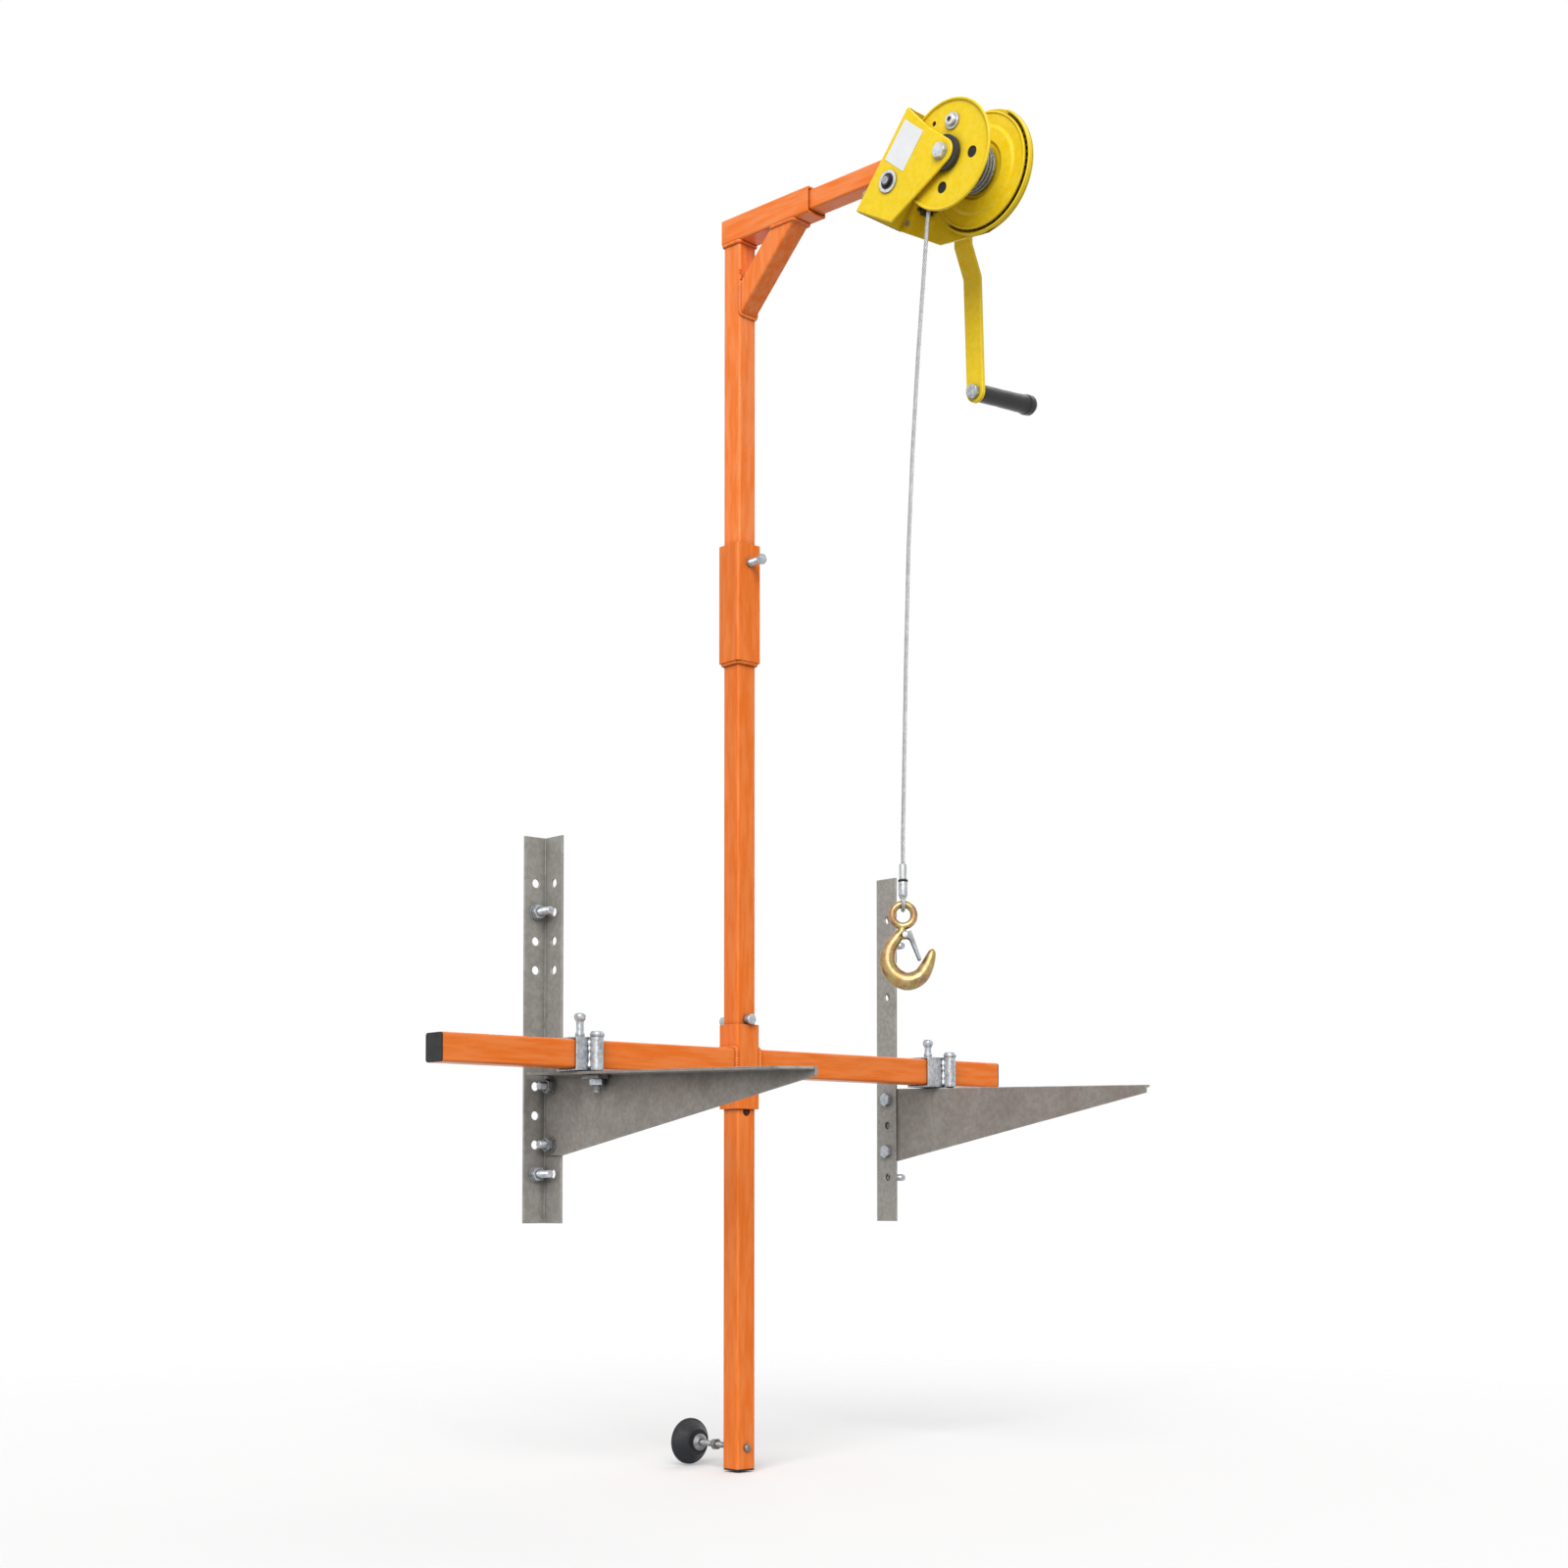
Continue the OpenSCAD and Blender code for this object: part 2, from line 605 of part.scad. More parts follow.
// drum: barrel, front flange with rolled rim, stepped rear flange
module drum() color(yellow) difference() {
  at_drum(0) rotate_extrude($fn = 96) polygon([[drum_bolt_d / 2 + run_gap, front_x],
    [front_r - 4, front_x], [front_r - 3, front_x - 2.4], [front_r - 1.2, front_x - 3],
    [front_r, front_x - 1.6], [front_r, front_x], [front_r - 1.5, front_x + 2],
    [barrel_r, front_x + 2], [barrel_r, drum_end - 2.6], [33, drum_end - 2.6], [36, drum_end - 5],
    [50, drum_end - 4], [54, drum_end - 2], [rear_r - 3, drum_end - 2], [rear_r - 2, drum_end - 3.4],
    [rear_r - 0.6, drum_end - 3.4], [rear_r, drum_end - 2.4], [rear_r, drum_end], [20, drum_end],
    [20, side_far - loose_gap], [drum_bolt_d / 2 + run_gap, side_far - loose_gap]]);
  for (k = [0:3]) rotate_hole(26.5 + 90 * k, 38.5, k == 1 ? 4 + run_gap : 7, front_x - 1, 4);
  rotate_hole(154.6, 48, 3, front_x - 1, 4);
}
// a hole through the front flange at an angle from the outward line, towards the top
module rotate_hole(a, r, hr, x, h) winch()
  translate([x, -drum_out - r * cos(a), drum_up + r * sin(a)]) along_x() cylinder(h = h, r = hr);
module drum_gear() color(dark) at_drum(gear_x) difference() {
  linear_extrude(height = gear_w) rotate(gear_phase) gear_shape(gear_n, 0.13);
  translate([0, 0, -1]) cylinder(h = gear_w + 2, r = 40);
}
// a drum gear tooth points at the pinion and meets a gap in it
gear_phase = 90 - pinion_turn;

// involute gear outline, 25 degree pressure angle, teeth thinned for backlash
function inv_angle(rb, r) = let (p = acos(min(1, rb / r))) tan(p) * 180 / PI - p;
function polar(r, a) = [r * cos(a), r * sin(a)];
module gear_shape(n, thin) {
  rp = gear_m * n / 2;
  rb = rp * cos(25);
  ra = rp + 0.85 * gear_m;
  rr = rp - 1.1 * gear_m;
  half = 90 / n - thin / rp * 180 / PI;
  polygon([for (k = [0:n - 1]) let (c = 360 * k / n, r0 = max(rb, rr))
    each concat(
      rr < rb ? [polar(rr, c - half - inv_angle(rb, rp) - 0.6)] : [],
      [for (j = [0:4]) let (r = r0 + (ra - r0) * j / 4)
        polar(r, c - half - inv_angle(rb, rp) + inv_angle(rb, r))],
      [for (j = [4:-1:0]) let (r = r0 + (ra - r0) * j / 4)
        polar(r, c + half + inv_angle(rb, rp) - inv_angle(rb, r))],
      rr < rb ? [polar(rr, c + half + inv_angle(rb, rp) + 0.6)] : [])]);
}

// the outer layer of rope on the drum, one unbroken tube: it starts where the free
// rope meets the drum, goes over the top, and both its ends run straight
turns = 9;
loops = 24 * turns;
wind_pitch = rope_d + rope_gap;
wind_x = front_x + 2 + rope_d / 2 + loose_gap;
leave_turn = -winch_tilt;
side = 6;
function wind_pt(i, s) = let (j = min(max(i, 0), loops), a = leave_turn + 15 * j, q = 360 * s / side,
  rr = wound_r + rope_d / 2 * cos(q), run = (i - j) * rope_d)
  [wind_x + wind_pitch * j / 24 + rope_d / 2 * sin(q), rr * cos(a) - run * sin(a), rr * sin(a) + run * cos(a)];
echo("winding least gap to itself", min([for (i = [0:24]) for (j = [22:26])
  for (s = [0:side - 1]) for (t = [0:side - 1]) norm(wind_pt(i, s) - wind_pt(i + j, t))]));
module winding() color(zinc) winch() translate([0, -drum_out, drum_up]) {
  rings = loops + 3;
  pts = [for (i = [-1:loops + 1]) for (s = [0:side - 1]) wind_pt(i, s)];
  faces = concat([[for (s = [side - 1:-1:0]) s]], [[for (s = [0:side - 1]) (rings - 1) * side + s]],
    [for (i = [0:rings - 2]) for (s = [0:side - 1]) let (a = i * side + s, b = i * side + (s + 1) % side)
      [a, b, b + side, a + side]]);
  polyhedron(points = pts, faces = faces, convexity = 10);
}

module rope_clamp() color(zinc) winch()
  translate([front_x, -drum_out - 38.5 * cos(116.5), drum_up + 38.5 * sin(116.5)]) along_x() {
    translate([0, 0, -2.4]) cylinder(h = 2.4, d = 20);
    translate([0, 0, -7.4]) cylinder(h = 5 + eps, d = 13);
    translate([0, 0, -eps]) cylinder(h = 2, d = 8);
  }
module drum_bush() color(dark) at_drum(side_near + side_t + loose_gap)
  ring(21, drum_bolt_d / 2 + run_gap, front_x - side_near - side_t - 2 * loose_gap);
module drum_bolt() color(zinc) {
  at_drum(side_near - 7) hexa(19, 7);
  at_drum(side_near - eps) cylinder(h = far_out - side_near + 12, d = drum_bolt_d);
}
module drum_nut() color(zinc) at_drum(far_out) difference() {
  hexa(19, 9);
  translate([0, 0, -1]) cylinder(h = 11, r = drum_bolt_d / 2 + run_gap);
}

// pinion and crank shaft in one piece
module pinion() color(dark) {
  at_shaft(side_near - 6) cylinder(h = crank_x + 16 - side_near, d = shaft_d);
  at_shaft(gear_x + rest_gap) linear_extrude(height = side_far - gear_x - 2 * rest_gap)
    rotate(pinion_phase) gear_shape(pinion_n, 0.13);
}
pinion_phase = 270 - pinion_turn + 180 / pinion_n;
module shaft_bush() color(zinc) {
  at_shaft(side_near - 1) ring(9, shaft_d / 2 + run_gap, side_t + 4);
  at_shaft(side_near - 2.5) ring(13.5, shaft_d / 2 + run_gap, 2.5);
  at_shaft(side_far) ring(9, shaft_d / 2 + run_gap, side_t + 2);
}

// the pawl's pin, off the base and along it
pawl_pos = [shaft_out - 20, shaft_up - 36];
ratchet_r = 30;
ratchet_n = 12;
// the steep side of a tooth stands just before the pawl's nose
tooth_turn = -18;
module ratchet() color(dark) at_shaft(wheel_x) difference() {
  linear_extrude(height = 5) polygon([for (k = [0:ratchet_n - 1])
    let (c = tooth_turn + 360 * k / ratchet_n)
      each [polar(ratchet_r, c), polar(ratchet_r - 5, c + 4), polar(ratchet_r - 4.4, c + 16)]]);
  translate([0, 0, -1]) cylinder(h = 7, r = 14 + run_gap * 2);
}
module brake_discs() color("#6b5a48") for (x = [wheel_x - 3 - rest_gap, wheel_x + 5 + rest_gap])
  at_shaft(x) ring(24, 14 + run_gap * 2, 3);
module brake_hub() color(zinc) {
  at_shaft(far_out + 2.4) ring(26, shaft_d / 2 + run_gap, wheel_x - 3 - 2 * rest_gap - far_out - 2.4);
  at_shaft(wheel_x - 3 - 2 * rest_gap - eps) ring(14, shaft_d / 2 + run_gap, 13);
  at_shaft(wheel_x + 8 + 2 * rest_gap) ring(26, shaft_d / 2 + run_gap, 4);
  at_shaft(wheel_x + 8 + 2 * rest_gap) ring(14, shaft_d / 2 + run_gap, crank_x - wheel_x - 8 - 2 * rest_gap);
}
// pawl: drawn round the shaft's axis, its nose low in the tooth gap, its arm clear of
// the next tooth
module pawl() color(dark) difference() {
  at_shaft(wheel_x + 0.5) union() {
    translate([shaft_up - pawl_pos[1], shaft_out - pawl_pos[0]]) cylinder(h = 4, r = 8);
    linear_extrude(height = 4) polygon([polar(26.2, -13), polar(26.6, -7), polar(32, 2), polar(32.5, 12),
      polar(33.5, 26), polar(48, 24), polar(45, 10), polar(39, -2), polar(33, -13)]);
  }
  winch() translate([wheel_x - 1, -pawl_pos[0], pawl_pos[1]]) along_x() cylinder(h = 7, r = 4 + run_gap);
}
module pawl_pin() color(zinc) winch() translate([side_far + 0.2, -pawl_pos[0], pawl_pos[1]]) along_x() {
  cylinder(h = wheel_x + 8 - side_far, r = 4);
  translate([0, 0, wheel_x + 5 - side_far]) cylinder(h = 2, r = 7);
}
module pawl_spring() color(zinc) winch() translate([far_out + 1, -pawl_pos[0], pawl_pos[1]]) along_x()
  ring(6, 4.3, 9);

// crank: flat bar with a joggle that takes it clear of the winch, its lower part
// leaning outwards a little
crank_bar = crank_w / 2;
// the shaft's centre in the jib's frame
shaft_at = [0, -base_out - shaft_out * cos(winch_tilt) - shaft_up * sin(winch_tilt),
  base_z - shaft_out * sin(winch_tilt) + shaft_up * cos(winch_tilt)];
module crank_low() translate([crank_low_x, 0, crank_bend]) rotate([0, -crank_lean, 0]) children();
low_len = crank_len + crank_bend;
// a point of the leaning lower part, across and along it
function lean_at(x, z) = [crank_low_x + x * cos(crank_lean) - z * sin(crank_lean),
  crank_bend + x * sin(crank_lean) + z * cos(crank_lean)];
low_end = lean_at(0, -low_len)[1];
module crank_bar_shape() jib() translate(shaft_at) difference() {
  intersection() {
    // the bar's bends, seen along its width
    translate([0, crank_w, 0]) rotate([90, 0, 0]) linear_extrude(height = 2 * crank_w)
      polygon([[crank_x, crank_w], [crank_x, -36], lean_at(0, 0), lean_at(0, -low_len - crank_w),
        lean_at(crank_t, -low_len - crank_w), lean_at(crank_t, 0), [crank_x + crank_t, -36],
        [crank_x + crank_t, crank_w]]);
    // its outline with round ends, seen along the shaft
    rotate([90, 0, 90]) linear_extrude(height = big) {
      circle(r = crank_bar);
      translate([0, low_end]) circle(r = crank_bar);
      translate([-crank_bar, low_end]) square([crank_w, -low_end]);
    }
  }
  translate([crank_x - 1, 0, 0]) along_x() cylinder(h = crank_t + 2, r = shaft_d / 2 + run_gap);
}
module crank_arm() color(yellow) difference() {
  crank_bar_shape();
  at_grip(-1) cylinder(h = crank_t + 2, r = 5 + run_gap);
}
module crank_nut() color(zinc) jib() translate(shaft_at) translate([crank_x + crank_t, 0, 0]) along_x()
  difference() {
    hexa(18, 9);
    translate([0, 0, -1]) cylinder(h = 11, r = shaft_d / 2 + run_gap);
  }
// the grip's axis crosses the crank's inner face at the end of its lower part
module at_grip(x) jib() translate(shaft_at) crank_low() translate([0, 0, -low_len])
  rotate([0, -grip_lean, 0]) translate([x, 0, 0]) along_x() children();
grip_x = crank_t + 0.9;
module grip() color(dark) at_grip(grip_x) rotate_extrude()
  polygon([[5.05, 0], [grip_d / 2 - 0.8, 0], [grip_d / 2 - 0.4, 3], [grip_d / 2 - 0.6, 40],
    [grip_d / 2, 80], [grip_d / 2 + 1.2, grip_len - 8], [grip_d / 2 + 0.8, grip_len - 3],
    [grip_d / 2 - 2.4, grip_len], [8, grip_len], [8, grip_len - 9], [5.05, grip_len - 9]]);
module grip_bolt() color(zinc) {
  at_grip(-7.5) hexa(bolt_af, 7);
  at_grip(-1) cylinder(h = grip_x + grip_len - 5, d = 10);
  at_grip(grip_x + grip_len - 8.7) cylinder(h = 3, d = 15);
}

// rope from the drum down to the ferrule, hand-chosen points in the jib's frame:
// side, ahead and height
rope_a = wind_x;
drum_at = [0, -base_out - drum_out * cos(winch_tilt) - drum_up * sin(winch_tilt),
  base_z - drum_out * sin(winch_tilt) + drum_up * cos(winch_tilt)];
rope_y = drum_at[1] + wound_r;
rope_top = drum_at[2] - rope_d - run_gap;
rope_end = hook_z + 42;
rope_way = [[rope_a, rope_y, rope_top], [rope_a, rope_y, rope_top - 10],
  [rope_a, rope_y + 3, rope_top - 35], [rope_a, rope_y + 8, rope_top - 65],
  [rope_a - 1.5, rope_y + 10, rope_top - 100], [rope_a - 3, rope_y + 12.5, rope_top - 140],
  [rope_a - 6, rope_y + 18, rope_top - 225], [rope_a - 10, rope_y + 23.5, rope_top - 340],
  [rope_a - 14, rope_y + 27, rope_top - 460], [rope_a - 18, rope_y + 28, rope_top - 600],
  [hook_side, -hook_out, hook_z + 90], [hook_side, -hook_out, rope_end]];
module rope() color(zinc) jib() {
  side = 8;
  last = len(rope_way) - 1;
  pts = [for (p = rope_way) for (s = [0:side - 1])
    p + rope_d / 2 * [cos(360 * s / side), sin(360 * s / side), 0]];
  faces = concat([[for (s = [0:side - 1]) s]], [[for (s = [side - 1:-1:0]) last * side + s]],
    [for (i = [0:last - 1]) for (s = [0:side - 1]) let (a = i * side + s, b = i * side + (s + 1) % side)
      [a, a + side, b + side, b]]);
  polyhedron(points = pts, faces = faces, convexity = 4);
}

// ferrule pressed on the rope's end loop, which hangs the hook's eye
loop_r = 8;
// the eye's top hangs on the loop's lowest part
loop_z = hook_z + eye_r - eye_bar - rest_gap - rope_d / 2 + loop_r;
module ferrule() color(zinc) jib() translate([hook_side, -hook_out, 0]) rotate([0, 0, hook_turn]) {
  translate([0, 0, hook_z + 19]) cylinder(h = rope_end - rest_gap - hook_z - 19, d = 11);
  translate([0, 0, loop_z]) rotate([0, 0, 90]) rotate([90, 0, 0]) rotate_extrude()
    translate([loop_r, 0]) circle(d = rope_d, $fn = 24);
}

// hook in its own plane: x towards the tip, z up, from the centre of its eye; each
// entry is x, z and the bar's radius
hook_path = [[0, -18, 5], [-9, -27, 6], [-20, -46, 7], [-18, -64, 8], [4, -81, 9.4],
  [22, -74, 8.4], [31, -57, 6.6], [36, -40, 3.8]];
latch_pin = [2, -24];
module hook_frame() jib() translate([hook_side, -hook_out, hook_z]) rotate([0, 0, hook_turn]) children();
module hook() color(gold) hook_frame() difference() {
  union() {
    rotate([90, 0, 0]) rotate_extrude() translate([eye_r, 0]) circle(r = eye_bar, $fn = 32);
    for (i = [0:len(hook_path) - 2]) hull() for (k = [i, i + 1])
      translate([hook_path[k][0], 0, hook_path[k][1]]) sphere(r = hook_path[k][2], $fn = 16);
    translate([latch_pin[0], 4.6, latch_pin[1]]) rotate([90, 0, 0]) cylinder(h = 9.2, r = 5);
  }
  translate([latch_pin[0], 9, latch_pin[1]]) rotate([90, 0, 0]) cylinder(h = 18, r = 2 + run_gap);
}
latch_lean = 19.4;
module latch() color(zinc) hook_frame() translate([latch_pin[0], 0, latch_pin[1]]) {
  for (s = [-1, 1]) translate([0, s * 7.2 + 0.7, 0]) rotate([90, 0, 0]) difference() {
    union() {
      cylinder(h = 1.4, r = 4);
      linear_extrude(height = 1.4) polygon([[-1, 3.9], [7, 5], [16.4, -22], [14, -22], [2, -3.5]]);
    }
    translate([0, 0, -1]) cylinder(h = 4, r = 2 + run_gap);
  }
  translate([6.2, -7.9, 5]) rotate([0, -latch_lean, 0]) translate([0, 0, -37]) cube([1.4, 15.8, 37]);
}
module latch_rivet() color(zinc) hook_frame() translate([latch_pin[0], 8.8, latch_pin[1]])
  rotate([90, 0, 0]) {
    cylinder(h = 17.6, r = 2);
    translate([0, 0, -0.8]) cylinder(h = 1.2, r = 3.4);
    translate([0, 0, 17.2]) cylinder(h = 1.2, r = 3.4);
  }

left_upright();
right_upright();
left_arm();
right_arm();
arm_bolts();
arm_nuts();
wall_anchors();
crossbar();
bar_caps();
left_clamp();
right_clamp();
clamp_set_screws();
clamp_bolts();
clamp_jaws();
clamp_nuts();
mast();
mast_cap();
mast_pin();
pin_clip();
sleeve_screw();
foot_rod();
foot_nut();
foot_pad();
jib_post();
boom_screws();
winch_arm();
mount_bolts();
mount_nuts();
winch_frame();
winch_label();
drum();
drum_gear();
winding();
rope_clamp();
drum_bush();
drum_bolt();
drum_nut();
pinion();
shaft_bush();
ratchet();
brake_discs();
brake_hub();
pawl();
pawl_pin();
pawl_spring();
crank_arm();
crank_nut();
grip();
grip_bolt();
rope();
ferrule();
hook();
latch();
latch_rivet();
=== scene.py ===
"""Finished looks of the air conditioner hoist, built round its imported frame."""

import math

import bmesh
import bpy
import numpy as np
from bpy.props import FloatProperty, FloatVectorProperty, IntProperty, PointerProperty
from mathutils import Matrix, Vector


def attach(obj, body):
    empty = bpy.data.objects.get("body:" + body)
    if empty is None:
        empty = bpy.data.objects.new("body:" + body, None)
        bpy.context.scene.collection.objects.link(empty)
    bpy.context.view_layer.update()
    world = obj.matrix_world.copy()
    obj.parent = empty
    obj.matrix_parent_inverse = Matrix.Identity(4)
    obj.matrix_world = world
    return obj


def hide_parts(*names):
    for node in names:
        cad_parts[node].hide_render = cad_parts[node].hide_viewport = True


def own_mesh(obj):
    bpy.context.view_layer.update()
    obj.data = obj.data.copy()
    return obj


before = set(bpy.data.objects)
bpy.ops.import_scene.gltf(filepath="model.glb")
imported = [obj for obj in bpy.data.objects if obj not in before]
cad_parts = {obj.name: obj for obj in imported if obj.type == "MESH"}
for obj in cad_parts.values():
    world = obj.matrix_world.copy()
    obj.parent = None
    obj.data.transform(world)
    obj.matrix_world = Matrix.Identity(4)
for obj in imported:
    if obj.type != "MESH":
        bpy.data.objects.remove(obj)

bl_info = {
    "name": "Air Conditioner Hoist",
    "version": (1, 0, 0),
    "blender": (4, 5, 0),
    "location": "3D View > Sidebar > Hoist",
    "description": "Tubes, welds, winch, wire rope and hook of a wall-clamped hoist",
    "category": "Add Mesh",
}

MM = 0.001
# points nearer to each other than this, in metres, are made one
MERGE = 2e-6
# degrees between two faces past which their edge stays sharp in the shading
HARD_ANGLE, SOFT_ANGLE = 35, 60

# sizes in millimetres and degrees, most of them under the names in the part's source
MAST_X, WALL_GAP, BAR_Z = -54.5, 103.0, -1.5
TUBE_W, TUBE_T = 30.0, 2.0
SOCKET_W, SOCKET_T = 38.0, 2.5
SLEEVE_W, SLEEVE_T = 40.0, 3.0
BAR_W, BAR_T = 35.0, 2.5
BOOM_W, BOOM_T = 34.0, 3.0
REACH_W, REACH_T, REACH_TAIL = 26.0, 2.0, 62.0
MAST_LOW, MAST_TOP = -520.0, 554.0
SLEEVE_LOW, SLEEVE_TOP = 519.0, 673.0
SOCKET_LOW, SOCKET_TOP = -60.0, 49.0
BAR_LEFT, BAR_RIGHT, CAP_T = -460.0, 463.0, 2.0
REST_GAP, LOOSE_GAP, RUN_GAP = 0.2, 0.3, 0.05
PIN_Z, PIN_PITCH, PIN_D = 55.2, 118.0, 12.0
FOOT_LOW, FOOT_D = -493.0, 8.0
LEFT_X, RIGHT_X = -232.0, 341.0
WALL_LEG, STAND_LEG, BRACKET_T = 34.0, 38.5, 3.0
ARM_BOLT_Z = (-35.0, -108.0)
ANCHOR_Z = (184.0, -144.5)
ANCHOR_LEN = 36.0
BOX_HALF = 20.5
CLAMP_X = (-253.0, 341.5)
CLAMP_BOLT_X = (-248.0, 356.0)
BOLT_Y = -28.5
SET_LEN = (26.0, 21.0)
BOLT_D, BOLT_AF, BOLT_HEAD = 10.0, 16.0, 7.0
JAW_T = 5.0
ARM_DROOP = 1.5
ARM_TURN = 5.0
BOOM_TOP, BOOM_OUT, BRACE_OUT = 1104.6, 137.5, 112.3
WINCH_TILT, BASE_OUT, BASE_Z = 39.5, 237.4, 1034.5
PLATE_T, SIDE_T, SIDE_NEAR, SIDE_FAR = 5.0, 3.0, -36.0, 43.0
DRUM_OUT, DRUM_UP, BARREL_R, FRONT_R, REAR_R = 85.7, 110.7, 24.7, 66.0, 69.4
ROPE_D, ROPE_GAP, WIND_TURNS = 5.0, 0.6, 9
GEAR_M, GEAR_N, PINION_N, GEAR_W, PINION_TURN = 2.4, 56, 14, 4.6, 47.0
SHAFT_D, DRUM_BOLT_D = 12.0, 12.0
CRANK_LEN, CRANK_T, CRANK_STEP, CRANK_BEND = 216.0, 6.0, 18.0, -72.0
CRANK_LEAN, GRIP_LEAN, GRIP_LEN, GRIP_D = 2.4, 3.0, 110.0, 24.0
HOOK_OUT, HOOK_SIDE, HOOK_Z, HOOK_TURN = 317.7, -43.0, 160.0, -46.0
EYE_R, EYE_BAR = 13.0, 4.5
MOUNT_POS = ((-19.0, 20.0), (28.0, 112.0))
GRUB_AT = (-54.0, -122.0)
FLANGE_HOLE_R = 38.5
LATCH_AT = (2.0, 0.0, -24.0)
BEAD_STEP = 0.65

# derived from the sizes above
BOOM_MID = BOOM_TOP - BOOM_W / 2
CENTRE_GAP = GEAR_M * (PINION_N + GEAR_N) / 2
SHAFT_OUT = DRUM_OUT - CENTRE_GAP * math.cos(math.radians(PINION_TURN))
SHAFT_UP = DRUM_UP - CENTRE_GAP * math.sin(math.radians(PINION_TURN))
FAR_OUT = SIDE_FAR + SIDE_T
GEAR_X = SIDE_FAR - 1.2 - GEAR_W
WHEEL_X = FAR_OUT + 11.0
CRANK_X = FAR_OUT + 57.0
FRONT_X = SIDE_NEAR + SIDE_T + 8.5
WIND_X = FRONT_X + 2 + ROPE_D / 2 + LOOSE_GAP
WOUND_R = BARREL_R + ROPE_GAP / 2 + ROPE_D / 2
ROPE_END = HOOK_Z + 42.0
FLANGE_Z = -BOX_HALF - REST_GAP
JAW_FRONT = 13.0
DROOP_S = math.sin(math.radians(ARM_DROOP))
JAW_TOP = FLANGE_Z - BRACKET_T - (BOX_HALF - BOLT_Y + JAW_FRONT) * DROOP_S - REST_GAP
JAW_LOW = JAW_TOP - JAW_T
LOCK_SCREW_Z = SLEEVE_TOP - 25.0


# frames: 4x4 matrices in millimetres
def shift(x, y, z):
    """Matrix that moves by x, y, z."""
    m = np.eye(4)
    m[:3, 3] = x, y, z
    return m


def turn(axis, degrees):
    """Matrix that turns about axis 0, 1 or 2: the other two mix by cosine and sine."""
    c, s = math.cos(math.radians(degrees)), math.sin(math.radians(degrees))
    a, b = (axis + 1) % 3, (axis + 2) % 3
    m = np.eye(4)
    m[a, a], m[a, b], m[b, a], m[b, b] = c, -s, s, c
    return m


def axes(origin, x, y, z):
    """Matrix whose columns are the three given directions and the origin."""
    m = np.eye(4)
    m[:3, 0], m[:3, 1], m[:3, 2], m[:3, 3] = x, y, z, origin
    return m


ALONG_X = turn(1, 90)
ALONG_Y = turn(0, -90)
AGAINST_Y = turn(0, 90)
PUT = shift(MAST_X, -WALL_GAP, BAR_Z)
JIB = PUT @ turn(2, ARM_TURN)
WINCH = JIB @ shift(0, -BASE_OUT, BASE_Z) @ turn(0, WINCH_TILT)
TILT_C, TILT_S = math.cos(math.radians(WINCH_TILT)), math.sin(math.radians(WINCH_TILT))
SHAFT_AT = (
    0.0,
    -BASE_OUT - SHAFT_OUT * TILT_C - SHAFT_UP * TILT_S,
    BASE_Z - SHAFT_OUT * TILT_S + SHAFT_UP * TILT_C,
)
CRANK_LOW = (
    JIB @ shift(*SHAFT_AT) @ shift(CRANK_X + CRANK_STEP, 0, CRANK_BEND) @ turn(1, -CRANK_LEAN)
)
HOOK = JIB @ shift(HOOK_SIDE, -HOOK_OUT, HOOK_Z) @ turn(2, HOOK_TURN)

# axes of the drum and of the crank shaft: z points to the crank and counts the winch's width
DRUM_AXIS = WINCH @ shift(0, -DRUM_OUT, DRUM_UP) @ ALONG_X
SHAFT_AXIS = WINCH @ shift(0, -SHAFT_OUT, SHAFT_UP) @ ALONG_X


def on_flange(x, angle, radius):
    """Frame on a flange of the drum, out from its axis by the radius in the angle's direction."""
    a = math.radians(angle)
    out, up = -DRUM_OUT - radius * math.cos(a), DRUM_UP + radius * math.sin(a)
    return WINCH @ shift(x, out, up) @ ALONG_X


def grip_axis(x):
    """Frame on the grip's axis, moved along it by x."""
    down = shift(0, 0, -(CRANK_LEN + CRANK_BEND)) @ turn(1, -GRIP_LEAN)
    return CRANK_LOW @ down @ shift(x, 0, 0) @ ALONG_X


def moved(points, matrix):
    """Points carried by a frame: rotation times point plus origin."""
    return np.asarray(points, float) @ matrix[:3, :3].T + matrix[:3, 3]


# shells: a shell is an array of points and a list of faces
def quads(rows, cols, wrap_rows, wrap_cols):
    """Faces of a grid of points: each joins (r, c), (r, c + 1), (r + 1, c + 1), (r + 1, c)."""
    r = np.arange(rows if wrap_rows else rows - 1)[:, None]
    c = np.arange(cols if wrap_cols else cols - 1)[None, :]
    r2, c2 = (r + 1) % rows, (c + 1) % cols
    return np.stack([r * cols + c, r * cols + c2, r2 * cols + c2, r2 * cols + c], -1).reshape(-1, 4)


def surface(points, wrap_rows=False, wrap_cols=True):
    """Shell from a grid of points, rows by columns."""
    rows, cols = points.shape[:2]
    return points.reshape(-1, 3), quads(rows, cols, wrap_rows, wrap_cols).tolist()


def joined(*shells):
    """One shell from several."""
    points, faces, start = [], [], 0
    for p, f in shells:
        points.append(p)
        faces += [[i + start for i in face] for face in f]
        start += len(p)
    return np.concatenate(points), faces


def placed(shell, matrix):
    """A shell carried by a frame."""
    return moved(shell[0], matrix), shell[1]


